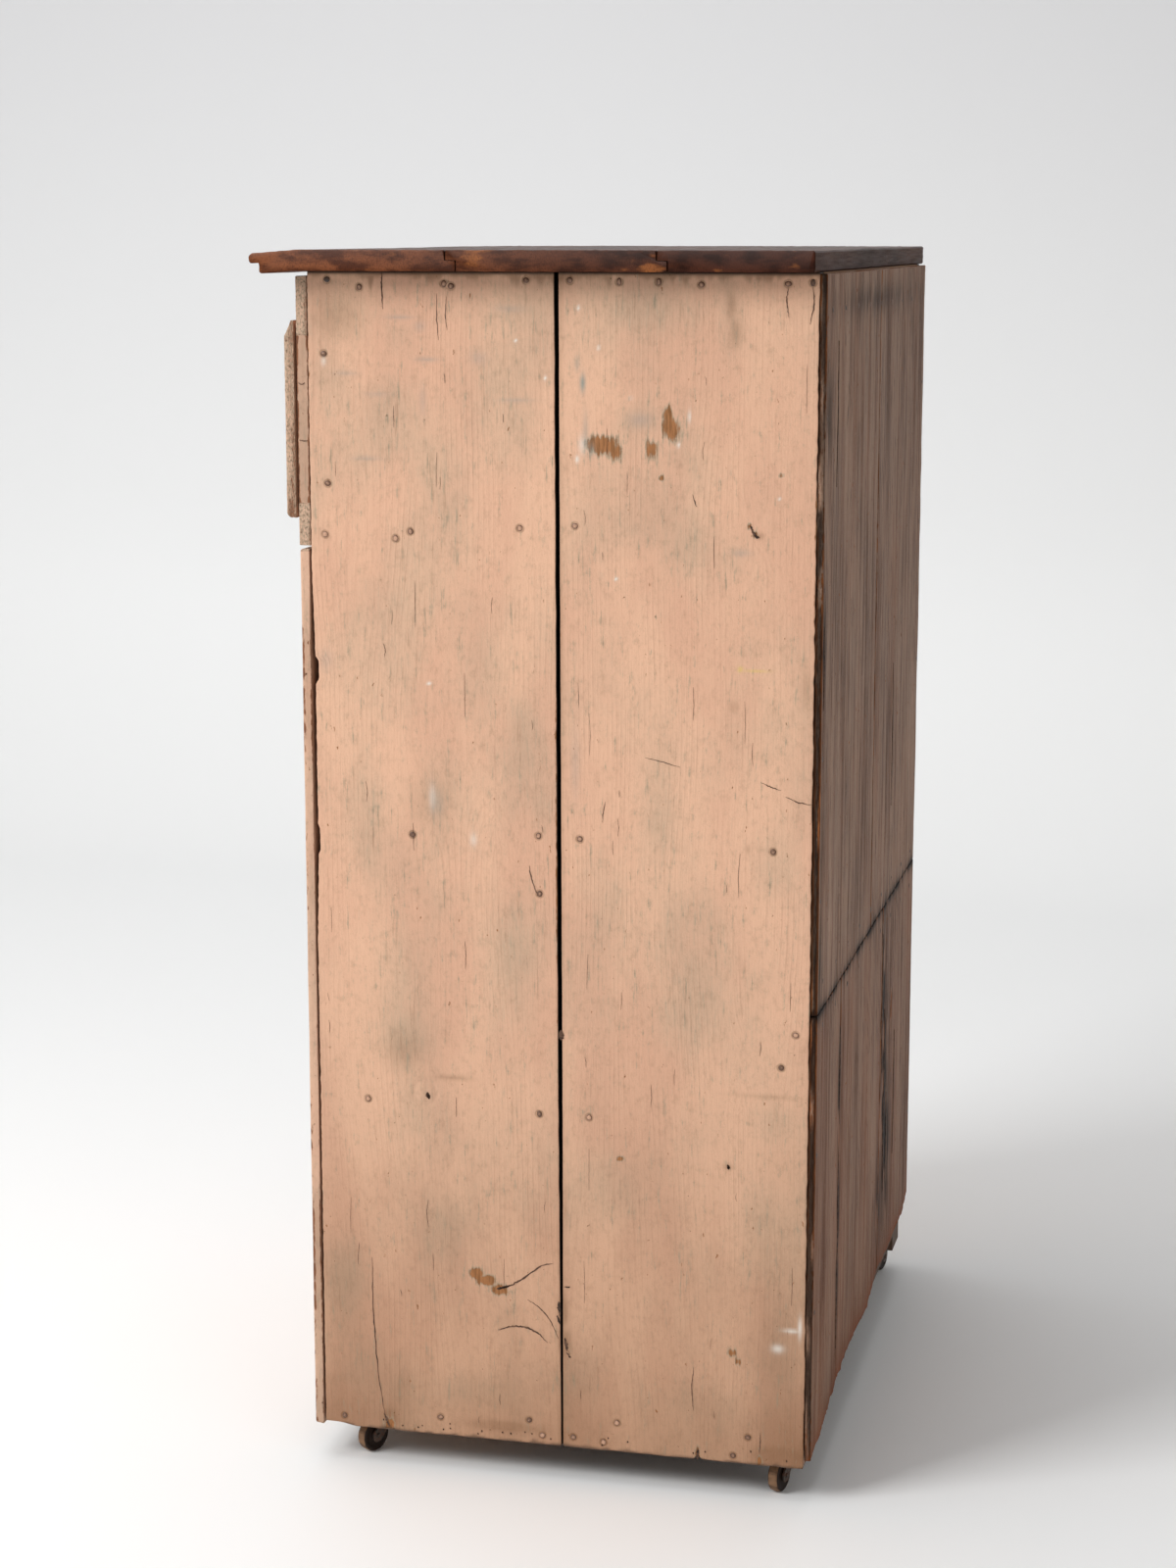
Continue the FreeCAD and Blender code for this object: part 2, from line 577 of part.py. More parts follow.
GROOVE_LOW = "drawer_bottom_rise"
GROOVE_HIGH = "(drawer_bottom_rise + drawer_bottom_thick + drawer_groove_fit)"
grooved = [
    ("0", "0"), ("drawer_side_thick", "0"), ("drawer_side_thick", BOX_HEIGHT),
    ("0", BOX_HEIGHT), ("0", GROOVE_HIGH), ("drawer_groove", GROOVE_HIGH),
    ("drawer_groove", GROOVE_LOW), ("0", GROOVE_LOW),
]
for hand, section, wall_x in (
        ("right", grooved, f"{DRAWER_HALF} - drawer_side_thick"),
        ("left", flipped(grooved, "drawer_side_thick"), f"-{DRAWER_HALF}")):
    board(f"drawer_side_{hand}", "Y", section, BOX_DEPTH,
          (wall_x, DRAWER_BACK_FACE, f"floor_gap + {DRAWER_FOOT}"))
BOX_INSIDE = f"({DRAWER_HALF} - drawer_side_thick)"
board("drawer_box_front", "X", flipped(grooved, "drawer_side_thick"), f"2 * {BOX_INSIDE}",
      (f"-{BOX_INSIDE}", DRAWER_BACK_FACE, f"floor_gap + {DRAWER_FOOT}"))
board("drawer_back", "X",
      rectangle("drawer_side_thick", f"{BOX_HEIGHT} - drawer_back_drop - {GROOVE_HIGH}"),
      f"2 * {BOX_INSIDE}",
      (f"-{BOX_INSIDE}", f"{DRAWER_BACK_FACE} + {BOX_DEPTH} - drawer_side_thick",
       f"floor_gap + {DRAWER_FOOT} + {GROOVE_HIGH}"))
BOTTOM_HALF = f"({BOX_INSIDE} + drawer_groove - drawer_groove_fit)"
BOTTOM_START = "(drawer_side_thick - drawer_groove + drawer_groove_fit)"
board("drawer_bottom", "Z",
      rectangle(f"2 * {BOTTOM_HALF}", f"{BOX_DEPTH} - {BOTTOM_START}"),
      "drawer_bottom_thick",
      (f"-{BOTTOM_HALF}", f"{DRAWER_BACK_FACE} + {BOTTOM_START}",
       f"floor_gap + {DRAWER_FOOT} + {GROOVE_LOW} + drawer_groove_fit / 2"))


# Knobs: a round head on a turned neck, seated on the board and screwed from behind.
def knob(label, at):
    body = new_body(label)
    sketch = new_sketch(body, "XY_Plane")
    draw_outline(sketch, [
        ("0", "0"), ("knob_neck_radius", "0"), ("knob_neck_radius", "-knob_neck"),
        ("knob_radius", "-knob_neck"), ("knob_radius", "-knob_reach"), ("0", "-knob_reach")])
    revolve(body, sketch)
    put(body, at)
    return body


KNOB_LEVEL = f"floor_gap + {DRAWER_FRONT_LOW} + {DRAWER_FRONT_HEIGHT} / 2"
group("drawer_knobs", [
    knob(f"drawer_knob_{hand}",
         (f"{way}drawer_knob_spacing / 2", f"{DRAWER_BACK_FACE} - drawer_front_thick",
          KNOB_LEVEL))
    for hand, way in (("right", ""), ("left", "-"))])

# Door: three boards on two battens, over the full width and down to the foot of the sides. Its
# outer corners are eased, and the hinge board is let in for the moving hinge leaves.
LATCH_LEFT = "(carcass_width - door_latch_width)"
door_boards = {}
for name, left, right in (
        ("hinge", "0", "door_hinge_width"),
        ("middle", "door_hinge_width + door_joint_gap", f"{LATCH_LEFT} - door_joint_gap"),
        ("latch", LATCH_LEFT, "carcass_width")):
    piece = board(
        f"door_{name}_board", "Z", rectangle(f"{right} - ({left})", "door_thick"),
        DOOR_HEIGHT, (f"-{HALF} + {left}", DOOR_FACE, "floor_gap + door_foot_clear"))
    ease(piece, "Fillet", edges_where(
        piece, lambda middle, run: abs(middle.y) < TOUCH and abs(run.z) < TOUCH),
        "door_edge_round")
    door_boards[name] = piece
for level in HINGE_LEVELS.values():
    low = f"{level} - door_foot_clear"
    mortise = new_sketch(door_boards["hinge"], "XZ_Plane", "-door_thick")
    draw_outline(mortise, [("0", low), ("hinge_leaf_width", low),
                           ("hinge_leaf_width", f"{low} + hinge_height"),
                           ("0", f"{low} + hinge_height")])
    cut(door_boards["hinge"], mortise, MORTISE, backwards=True)
knob("door_knob", (f"{HALF} - door_knob_inset", DOOR_FACE, "floor_gap + door_knob_level"))
BATTEN_HALF = f"({INSIDE} - batten_end_clear)"
for name, level in BATTEN_LEVELS.items():
    batten = board(f"door_{name}_batten", "X", rectangle("batten_thick", "batten_width"),
                   f"2 * {BATTEN_HALF}",
                   (f"-{BATTEN_HALF}", DOOR_BACK, f"floor_gap + {level}"))
    ease(batten, "Chamfer", edges_where(
        batten, lambda middle, run: abs(middle.y - size("batten_thick")) < TOUCH),
        "batten_chamfer")


# Hinges: steel butts on the left side. Each leaf's plate runs into its own knuckles, and is cut
# clear of the other leaf's.
HINGE_X = f"(-{HALF} - hinge_offset)"
HINGE_Y = f"({FRONT} - door_gap / 2)"
KNUCKLE = "(hinge_height / 3)"


def hinge_leaf(name, level, plate_y, other_knuckles):
    foot = f"floor_gap + {level}"
    plate = primitive("Box", f"{name}_plate", {
        "Length": "hinge_offset + hinge_leaf_width", "Width": "hinge_leaf_thick",
        "Height": "hinge_height"}, (HINGE_X, plate_y, foot))
    barrel = primitive("Cylinder", f"{name}_barrel", {
        "Radius": "hinge_barrel_radius", "Height": "hinge_height"}, (HINGE_X, HINGE_Y, foot))
    whole = doc.addObject("Part::Fuse", f"{name}_whole")
    whole.Base, whole.Tool = plate, barrel
    tools = [primitive("Cylinder", f"{name}_bore", {
        "Radius": "hinge_pin_radius + hinge_pin_fit", "Height": "hinge_height"},
        (HINGE_X, HINGE_Y, foot))]
    for index, start in enumerate(other_knuckles):
        rise = "" if start == "0" else f" + {start} * {KNUCKLE} - knuckle_gap"
        gaps = 1 if start in ("0", "2") else 2
        tools.append(primitive("Cylinder", f"{name}_clear_{index}", {
            "Radius": "hinge_barrel_radius + knuckle_gap",
            "Height": f"{KNUCKLE} + {gaps} * knuckle_gap"}, (HINGE_X, HINGE_Y, foot + rise)))
    for index, tool in enumerate(tools):
        leaf = doc.addObject("Part::Cut", f"{name}_cut_{index}")
        leaf.Base, leaf.Tool = whole, tool
        whole = leaf
    return whole


SIDE_PLATE_Y = f"{HINGE_Y} + hinge_leaf_gap / 2"
DOOR_PLATE_Y = f"{HINGE_Y} - hinge_leaf_gap / 2 - hinge_leaf_thick"
side_leaves = []
door_leaves = []
pins = []
for name, level in HINGE_LEVELS.items():
    side_leaves.append(hinge_leaf(f"{name}_side_leaf", level, SIDE_PLATE_Y, ("1",)))
    door_leaves.append(hinge_leaf(f"{name}_door_leaf", level, DOOR_PLATE_Y, ("0", "2")))
    pin = new_body(f"{name}_hinge_pin")
    profile = new_sketch(pin, "XZ_Plane")
    draw_outline(profile, [
        ("0", "-hinge_pin_overrun"), ("hinge_pin_radius", "-hinge_pin_overrun"),
        ("hinge_pin_radius", "hinge_height + hinge_pin_overrun"),
        ("0", "hinge_height + hinge_pin_overrun")])
    revolve(pin, profile)
    put(pin, (HINGE_X, HINGE_Y, f"floor_gap + {level}"))
    pins.append(pin)
group("hinge_side_leaves", side_leaves)
group("hinge_door_leaves", door_leaves)
group("hinge_pins", pins)

# Turn button: lies level near the free edge when the door is unlatched, and turns down over
# the door to hold it. Its flat headed screw passes through it into the middle rail, which the
# frame's loop left in rail.
BUTTON_LEVEL = f"(({MIDDLE_RAIL_LOW} + {DRAWER_FRONT_LOW}) / 2)"
BUTTON_FACE = f"({FRAME_FACE} - button_standoff - button_thick)"
HEAD_RISE = "(screw_head_gap + screw_head_height)"
button = board("turn_button", "Y", rectangle("button_length", "button_width"),
               "button_thick",
               (f"{HALF} - button_inset - button_pivot", BUTTON_FACE,
                f"floor_gap + {BUTTON_LEVEL} - button_width / 2"))
ease(button, "Chamfer", edges_where(
    button, lambda middle, run: abs(run.y) > TOUCH), "button_corner")
SCREW_HOLE = "screw_radius + screw_fit"
for piece, spot, depth_in in (
        (button, ("button_pivot", "button_width / 2"), "button_thick"),
        (rail, ("carcass_width - button_inset", f"{BUTTON_LEVEL} - {MIDDLE_RAIL_LOW}"),
         "frame_thick")):
    hole = new_sketch(piece, "XZ_Plane")
    draw_circle(hole, spot, SCREW_HOLE)
    cut(piece, hole, depth_in)
screw = new_body("turn_button_screw")
profile = new_sketch(screw, "XY_Plane")
draw_outline(profile, [
    ("0", f"-{HEAD_RISE}"), ("screw_head_radius", f"-{HEAD_RISE}"),
    ("screw_head_radius", "-screw_head_gap"), ("screw_radius", "-screw_head_gap"),
    ("screw_radius", "button_thick + button_standoff + frame_thick"),
    ("0", "button_thick + button_standoff + frame_thick")])
revolve(screw, profile)
put(screw, (f"{HALF} - button_inset", BUTTON_FACE, f"floor_gap + {BUTTON_LEVEL}"))

# Casters: four of them. A stem turns in a flanged sleeve, the fork leans back to an axle behind
# the stem, and a turned wooden wheel runs between its arms. The crown of the fork runs under the
# sleeve's flange, which takes the weight. All heights are from the floor.
CROWN_TOP = "(floor_gap + bearer_level - flange_thick - swivel_gap)"
SLOT = "(wheel_width + 2 * arm_clear)"
FORK = "(wheel_width + 2 * arm_clear + 2 * arm_thick)"


def fork(label, x, y, turn):
    body = new_body(label)
    arms = new_sketch(body, "XZ_Plane")
    draw_outline(arms, [
        ("-crown_reach", f"{CROWN_TOP} - crown_height"), ("-crown_reach", CROWN_TOP),
        ("caster_trail / 3", CROWN_TOP),
        ("caster_trail + arm_reach", "wheel_radius + arm_reach / 2"),
        ("caster_trail + arm_reach", "wheel_radius - arm_reach / 2"),
        ("caster_trail + arm_reach / 2", "wheel_radius - arm_reach"),
        ("caster_trail - arm_reach / 2", "wheel_radius - arm_reach"),
        ("caster_trail - arm_reach", "wheel_radius - arm_reach / 2")])
    add_feature(body, "Pad", arms, FORK, side="Symmetric")
    stem = new_sketch(body, "XY_Plane", CROWN_TOP)
    draw_circle(stem, ("0", "0"), "stem_radius")
    add_feature(body, "Pad", stem, "stem_length")
    slot = new_sketch(body, "XZ_Plane")
    draw_circle(slot, ("caster_trail", "wheel_radius"), "wheel_radius + wheel_clear")
    cut(body, slot, SLOT, side="Symmetric")
    bore = new_sketch(body, "XZ_Plane")
    draw_circle(bore, ("caster_trail", "wheel_radius"), "axle_radius + axle_fit")
    cut(body, bore, f"{FORK} + 1", side="Symmetric")
    put(body, (x, y, "0"), turn)


def wheel(label, x, y, turn):
    body = new_body(label)
    sketch = new_sketch(body, "XY_Plane")
    draw_outline(sketch, [
        ("axle_radius + axle_fit", "-wheel_width / 2"), ("wheel_radius", "-wheel_width / 2"),
        ("wheel_radius", "wheel_width / 2"), ("axle_radius + axle_fit", "wheel_width / 2")])
    revolve(body, sketch)
    put(body, (x, y, "wheel_radius"), turn)


def axle(label, x, y, turn):
    body = new_body(label)
    sketch = new_sketch(body, "XZ_Plane")
    draw_circle(sketch, ("0", "0"), "axle_radius")
    add_feature(body, "Pad", sketch, f"{FORK} + 2 * axle_overrun", side="Symmetric")
    put(body, (x, y, "wheel_radius"), turn)


sockets = []
blocks = []
for place, way, depth_in in (
        ("front_right", 1, "caster_front"), ("rear_right", 1, "side_depth - caster_rear"),
        ("front_left", -1, "caster_front"), ("rear_left", -1, "side_depth - caster_rear")):
    stem_x = f"{way} * ({HALF} - caster_inset)"
    stem_y = f"{FRONT} + {depth_in}"
    turn = f"{place}_turn"
    axle_x = f"{stem_x} + caster_trail * cos({turn} * 1 deg)"
    axle_y = f"{stem_y} + caster_trail * sin({turn} * 1 deg)"
    fork(f"caster_{place}_fork", stem_x, stem_y, turn)
    wheel(f"caster_{place}_wheel", axle_x, axle_y, turn)
    axle(f"caster_{place}_axle", axle_x, axle_y, turn)

    socket = new_body(f"socket_{place}")
    ring = new_sketch(socket, "XZ_Plane")
    draw_outline(ring, [
        ("stem_radius + stem_fit", "-flange_thick"), ("flange_radius", "-flange_thick"),
        ("flange_radius", "0"), ("socket_radius", "0"), ("socket_radius", "socket_length"),
        ("stem_radius + stem_fit", "socket_length")])
    revolve(socket, ring)
    put(socket, (stem_x, stem_y, "floor_gap + bearer_level"))
    sockets.append(socket)

    timber = primitive("Box", f"block_{place}_timber", {
        "Length": "block_size", "Width": "block_size", "Height": "bottom_level - bearer_level"},
        (f"{stem_x} - block_size / 2 - {way} * (block_size / 2 + side_thick - caster_inset)",
         f"{stem_y} - block_size / 2", "floor_gap + bearer_level"))
    drill = primitive("Cylinder", f"block_{place}_drill", {
        "Radius": SLEEVE_HOLE, "Height": "bottom_level - bearer_level"},
        (stem_x, stem_y, "floor_gap + bearer_level"))
    block = doc.addObject("Part::Cut", f"block_{place}")
    block.Base, block.Tool = timber, drill
    blocks.append(block)
group("caster_sockets", sockets)
group("caster_blocks", blocks)

doc.recompute()

# Check every object, then write each piece under its own name.
for item in doc.Objects:
    if "Invalid" in item.State or "Error" in item.State:
        raise RuntimeError(f"{item.Label} did not build: {item.State}")
grouped = {member.Name for item in doc.Objects if item.TypeId == "Part::Compound"
           for member in item.Links}
pieces = [item for item in doc.Objects
          if item.TypeId in ("PartDesign::Body", "Part::Compound") and item.Name not in grouped]
os.makedirs("parts", exist_ok=True)
for piece in pieces:
    shape = piece.Shape
    if shape.isNull() or not shape.isValid():
        raise RuntimeError(f"{piece.Label} has no valid shape")
    shape.exportStep(f"parts/{piece.Label}.step")
whole = Part.makeCompound([piece.Shape for piece in pieces])
print(len(pieces), "pieces", whole.BoundBox)
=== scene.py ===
"""A painted plank cupboard on casters: its looks, piece by piece, in the order it is put together.

Lengths are metres, and the lists of marks and of cracks are millimetres. A place on a side is
given as the distance from the side's front edge and the height above its foot.
"""
import json
import math

import bpy
import numpy as np
from mathutils import Matrix, Vector


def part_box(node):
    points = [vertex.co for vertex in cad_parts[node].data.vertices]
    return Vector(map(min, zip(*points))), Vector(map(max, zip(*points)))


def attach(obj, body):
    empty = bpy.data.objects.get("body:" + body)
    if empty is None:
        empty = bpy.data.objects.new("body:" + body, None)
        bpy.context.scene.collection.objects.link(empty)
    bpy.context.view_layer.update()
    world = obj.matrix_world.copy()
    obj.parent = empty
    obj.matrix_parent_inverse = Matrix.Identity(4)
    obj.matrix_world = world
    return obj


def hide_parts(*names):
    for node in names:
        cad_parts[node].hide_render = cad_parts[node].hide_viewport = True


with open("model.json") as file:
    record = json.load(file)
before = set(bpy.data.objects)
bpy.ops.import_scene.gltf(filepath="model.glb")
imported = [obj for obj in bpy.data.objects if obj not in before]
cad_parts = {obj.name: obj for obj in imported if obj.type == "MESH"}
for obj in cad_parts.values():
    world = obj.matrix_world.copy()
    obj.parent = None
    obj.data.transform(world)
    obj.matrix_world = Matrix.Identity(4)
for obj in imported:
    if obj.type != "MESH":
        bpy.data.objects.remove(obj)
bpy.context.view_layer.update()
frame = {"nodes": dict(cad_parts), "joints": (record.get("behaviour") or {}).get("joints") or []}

# The two sides. Each is two wide flat-sawn pine boards with an open seam between them, painted
# peach over a grey coat. The paint is thin along the grain, rubbed through to the wood in a few
# spots, and darker toward the foot, partly dirt and partly painted shade. The faces inside the
# seam and a thin line under the top are painted near black as shade. The boards are skins of
# points round their cross sections.
low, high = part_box("side_right_front_board")
rear_low, rear_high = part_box("side_right_rear_board")
FRONT_EDGE = low.y
REAR_EDGE = rear_high.y
FOOT = low.z
RIGHT = high.x
SIDE_THICK = RIGHT - low.x
SIDE_HEIGHT = high.z - FOOT
SIDE_DEPTH = REAR_EDGE - FRONT_EDGE
SEAM_GAP = 0.0032
SEAM_FOOT = high.y - FRONT_EDGE
SEAM_TOP = rear_low.y - FRONT_EDGE - SEAM_GAP
CORNER_LOSS = 0.038
SIDE_STEP = 0.0015


def smooth_noise(x, y, seed):
    """Noise from 0 to 1. A random number stands on every whole crossing of x and y, and the four
    round a point are blended with the weight 3t^2 - 2t^3 each way."""
    crossings = np.random.default_rng(seed).random((256, 256))
    column = np.floor(x).astype(int)
    row = np.floor(y).astype(int)
    right = x - column
    up = y - row
    right = right * right * (3 - 2 * right)
    up = up * up * (3 - 2 * up)

    def crossing(step, rise):
        return crossings[(column + step) % 256, (row + rise) % 256]

    low = crossing(0, 0) * (1 - right) + crossing(1, 0) * right
    high = crossing(0, 1) * (1 - right) + crossing(1, 1) * right
    return low * (1 - up) + high * up


def ripple(distance, length, row, seed):
    """The same noise along one line, in waves of about this length."""
    return smooth_noise(distance / length, 0 * distance + row, seed)


def ease_in(value, start, end):
    """0 before start and 1 after end, by the curve 3t^2 - 2t^3 between them."""
    t = np.clip((value - start) / (end - start), 0, 1)
    return t * t * (3 - 2 * t)


def ease_out(value, start, end):
    """1 before start and 0 after end."""
    return 1 - ease_in(value, start, end)


def spots(across, along, places):
    """The strongest of several ovals, each strength * exp(-(da/width)^2 - (dl/height)^2)."""
    strongest = np.zeros(np.broadcast(across, along).shape)
    for a, l, width, height, strength in places:
        oval = ((1000 * across - a) / width) ** 2 + ((1000 * along - l) / height) ** 2
        strongest = np.maximum(strongest, strength * np.exp(-oval))
    return strongest


def growth_rings(across, along, seed, knots=()):
    """The count of growth rings at a point of a flat-sawn face: the distance across over 5 mm,
    bent by slow noise that is long with the grain, and pushed outward round each knot."""
    bend = 0.050 * smooth_noise(across / 0.11, along / 0.55, seed)
    bend = bend + 0.012 * smooth_noise(across / 0.035, along / 0.16, seed + 1)
    for a, l, size in knots:
        reach = ((across - a) / size) ** 2 + ((along - l) / (2.2 * size)) ** 2
        bend = bend + size * 1.2 * np.exp(-reach) * np.sign(across - a)
    return (across + bend) / 0.005


def walk_round(corners, radii, steps):
    """Go round a cross section whose convex corners are arcs of three steps, with each side
    divided at its own step. Gives the points, their outward normals, the distance walked, which
    points lie on a corner, and the corner radius, blended along each side."""
    corner = np.array(corners, float)
    radius = np.array(radii, float)
    count = len(corner)
    after = np.roll(corner, -1, 0)
    run = after - corner
    length = np.hypot(run[:, 0], run[:, 1])
    run = run / length[:, None]
    way_round = np.sign(np.sum(corner[:, 0] * after[:, 1] - after[:, 0] * corner[:, 1]))
    normal = np.stack([run[:, 1], -run[:, 0]], 1) * way_round
    last_run = np.roll(run, 1, 0)
    last_normal = np.roll(normal, 1, 0)
    turn = (last_run[:, 0] * run[:, 1] - last_run[:, 1] * run[:, 0]) * way_round
    cosine = np.sum(normal * last_normal, 1)
    radius = np.where(turn > 0, radius, 0)
    trim = radius * np.sqrt((1 - cosine) / (1 + cosine))
    points = []
    normals = []
    bends = []
    rounds = []
    for i in range(count):
        share = np.linspace(0, 1, 4 if radius[i] > 0 else 1)[:, None]
        if radius[i] == 0:
            share = share + 0.5
        ways = last_normal[i] * (1 - share) + normal[i] * share
        ways = ways / np.linalg.norm(ways, axis=1, keepdims=True)
        centre = corner[i] - (last_normal[i] + normal[i]) * radius[i] / (1 + cosine[i])
        clear = length[i] - trim[i] - trim[(i + 1) % count]
        parts = max(1, round(clear / steps[i]))
        part_way = np.arange(1, parts) / parts
        stops = trim[i] + clear * part_way[:, None]
        points += [centre + ways * radius[i], corner[i] + run[i] * stops]
        normals += [ways, np.repeat(normal[i:i + 1], parts - 1, 0)]
        bends += [np.ones(len(ways), bool), np.zeros(parts - 1, bool)]
        rounds += [np.full(len(ways), radius[i]),
                   radius[i] + (radius[(i + 1) % count] - radius[i]) * part_way]
    points = np.concatenate(points)
    strides = np.linalg.norm(points - np.roll(points, 1, 0), axis=1)
    strides[0] = 0
    return (points, np.concatenate(normals), np.cumsum(strides), np.concatenate(bends),
            np.concatenate(rounds))


def stand(name, data):
    """An object in the scene with this mesh, lamp or lens."""
    item = bpy.data.objects.new(name, data)
    bpy.context.scene.collection.objects.link(item)
    return item


def from_faces(name, points, faces, smooth):
    """An object of these points and faces. Smooth says which faces are shaded round."""
    mesh = bpy.data.meshes.new(name)
    mesh.from_pydata(points.reshape(-1, 3).tolist(), [], faces)
    mesh.polygons.foreach_set("use_smooth", np.zeros(len(faces), bool) | smooth)
    mesh.update()
    mesh.validate()
    return stand(name, mesh)


def quads_round(grid):
    """Faces between the rows of a grid of point numbers whose last column joins the first."""
    beside = np.roll(grid, -1, 1)
    return np.stack([grid[:-1], beside[:-1], beside[1:], grid[1:]], -1).reshape(-1, 4)


def skin(name, rows, ring=False):
    """A closed surface from a grid of points. The last column joins the first. The last row joins
    the first too for a ring, and otherwise one flat face closes each end. The faces are turned
    outward by the sign of the volume inside."""
    count, around = rows.shape[:2]
    grid = np.arange(count * around).reshape(count, around)
    quads = quads_round(np.concatenate([grid, grid[:1]]) if ring else grid)
    ends = np.array([] if ring else [grid[0][::-1], grid[-1]], int)
    points = rows.reshape(-1, 3) - rows.reshape(-1, 3).mean(0)
    a, b, c, d = (points[quads[:, k]] for k in range(4))
    if np.sum(np.cross(a, b) * c) + np.sum(np.cross(a, c) * d) < 0:
        quads = quads[:, ::-1]
        ends = ends[..., ::-1]
    return from_faces(name, rows, quads.tolist() + ends.tolist(),
                      np.arange(len(quads) + len(ends)) < len(quads))


def give(piece, name, values):
    """Store a number for every point of the piece, or a vector where the values have three axes."""
    vector = values.ndim == 3
    store = piece.data.attributes.new(name, "FLOAT_VECTOR" if vector else "FLOAT", "POINT")
    store.data.foreach_set("vector" if vector else "value", values.astype(np.float32).ravel())


def dress(piece, body, material, node=None):
    """Give a piece its material and the body that it rides, and hide the node it replaces."""
    piece.data.materials.append(material)
    if node:
        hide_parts(node)
    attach(piece, body)


def rectangle(first, last, start, end):
    """A four-cornered cross section from first to last one way and start to end the other."""
    return [(first, start), (last, start), (last, end), (first, end)]


def timber(node, body, section, radii, steps, grain, spacing, seed, material,
           end_round=0.0012, warp=None, relief=None, marks=None, knots=(), ring_depth=0.00006):
    """A sawn board with worn edges. The section is drawn in the plane across the grain, in the
    frame's own metres. At each end it shrinks along its normals by r(1 - sin t), a quarter round
    that leaves 0.4 mm of each corner. warp moves the points, relief gives a depth taken off,
    marks gives numbers to store, and the growth rings stand up by ring_depth."""
    low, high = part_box(node)
    axis = "xyz".index(grain)
    start, end = low[axis], high[axis]
    flat, normals, walked, bends, rounds = walk_round(section, radii, steps)
    quarter = np.linspace(0, math.pi / 2, 4)
    between = max(1, round((end - start - 2 * end_round) / spacing))
    stations = np.concatenate([
        start + end_round * (1 - np.cos(quarter)),
        np.linspace(start + end_round, end - end_round, between + 1)[1:-1],
        end - end_round * (1 - np.cos(quarter[::-1]))])
    fade = np.zeros((len(stations), 1))
    fade[:4, 0] = 1 - np.sin(quarter)
    fade[-4:] = fade[3::-1]
    inset = fade * np.clip(rounds - 0.0004, 0, end_round)
    rows = np.zeros((len(stations), len(flat), 3))
    outward = np.zeros_like(rows)
    for part, k in enumerate(k for k in range(3) if k != axis):
        rows[:, :, k] = flat[:, part] - inset * normals[:, part]
        outward[:, :, k] = normals[:, part]
    rows[:, :, axis] = stations[:, None]
    along = rows[:, :, axis] - start
    across = np.broadcast_to(walked, along.shape)
    rings = growth_rings(across, along, seed, knots)
    depth = ring_depth * (0.5 - 0.5 * np.cos(2 * math.pi * rings))
    depth = depth + 0.00012 * smooth_noise(across / 0.05, along / 0.25, seed + 5)
    if relief:
        depth = depth + relief(rows, outward)
    rows = rows - outward * depth[:, :, None]
    if warp:
        rows = warp(rows)
    piece = skin(f"{node}_worn", rows)
    cut_end = np.zeros_like(along)
    cut_end[:3] = 1
    cut_end[-3:] = 1
    to_bend = np.abs(walked[:, None] - walked[bends])
    around = walked[-1] + np.linalg.norm(flat[-1] - flat[0])
    to_bend = np.minimum(to_bend, around - to_bend).min(1)
    to_edge = np.minimum(to_bend, np.minimum(along, end - start - along))
    give(piece, "grain", np.stack([across, along, np.full(along.shape, seed * 0.37)], -1))
    give(piece, "rings", rings)
    give(piece, "end_grain", cut_end)
    give(piece, "edge", np.exp(-to_edge / 0.0018))
    for mark, values in (marks(rows, outward) if marks else {}).items():
        give(piece, mark, values)
    dress(piece, body, material, node)


def seen(red, green, blue):
    """A colour as the eye names it, 0 to 255, turned into the shader's linear values."""
    share = np.array([red, green, blue]) / 255
    linear = np.where(share <= 0.04045, share / 12.92, ((share + 0.055) / 1.055) ** 2.4)
    return (*linear, 1.0)


class Wire:
    """What a shader node gives out. Sums and products of wires and numbers add Math nodes."""

    def __init__(self, socket):
        self.socket = socket

    def maths(self, operation, other=0.0):
        return wire(self.socket.id_data, "Math", 0, {0: self, 1: other}, operation=operation)

    def __add__(self, other):
        return self.maths("ADD", other)

    def __sub__(self, other):
        return self.maths("SUBTRACT", other)

    def __mul__(self, other):
        return self.maths("MULTIPLY", other)

    def __invert__(self):
        return self * -1.0 + 1.0


def feed(node, inputs):
    """Give a node's inputs a value or a link."""
    for key, value in inputs.items():
        if isinstance(value, Wire):
            node.id_data.links.new(value.socket, node.inputs[key])
        else:
            node.inputs[key].default_value = value


def wires(tree, kind, inputs, **settings):
    """Add a shader node, set its properties, feed it, and give all that it gives out."""
    node = tree.nodes.new("ShaderNode" + kind)
    for key, value in settings.items():
        setattr(node, key, value)
    feed(node, inputs)
    return [Wire(socket) for socket in node.outputs]


def wire(tree, kind, output, inputs, **settings):
    """The same, with one output only."""
    return Wire(wires(tree, kind, inputs, **settings)[0].socket.node.outputs[output])


def mixed(share, first, second):
    """The first colour where share is 0, and the second where it is 1."""
    tree = next(item.socket.id_data for item in (share, first, second) if isinstance(item, Wire))
    return wire(tree, "Mix", 2, {0: share, 6: first, 7: second}, data_type="RGBA",
                clamp_factor=True)


def layered(colour, *layers):
    """A colour with others laid over it in turn, each by its own share."""
    for share, tint in layers:
        colour = mixed(share, colour, tint)
    return colour


def noise(vector, per_metre, detail=3.0, roughness=0.6):
    """Noise of the given fineness across, along and through the board, in cells per metre."""
    tree = vector.socket.id_data
    scaled = wire(tree, "VectorMath", 0, {0: vector, 1: per_metre}, operation="MULTIPLY")
    return wire(tree, "TexNoise", 0, {"Vector": scaled, "Scale": 1.0, "Detail": detail,
                                      "Roughness": roughness})


def step_up(value, start, end):
    """0 below start and 1 above end, smooth between them."""
    return wire(value.socket.id_data, "MapRange", 0, {0: value, 1: start, 2: end}, clamp=True,
                interpolation_type="SMOOTHSTEP")


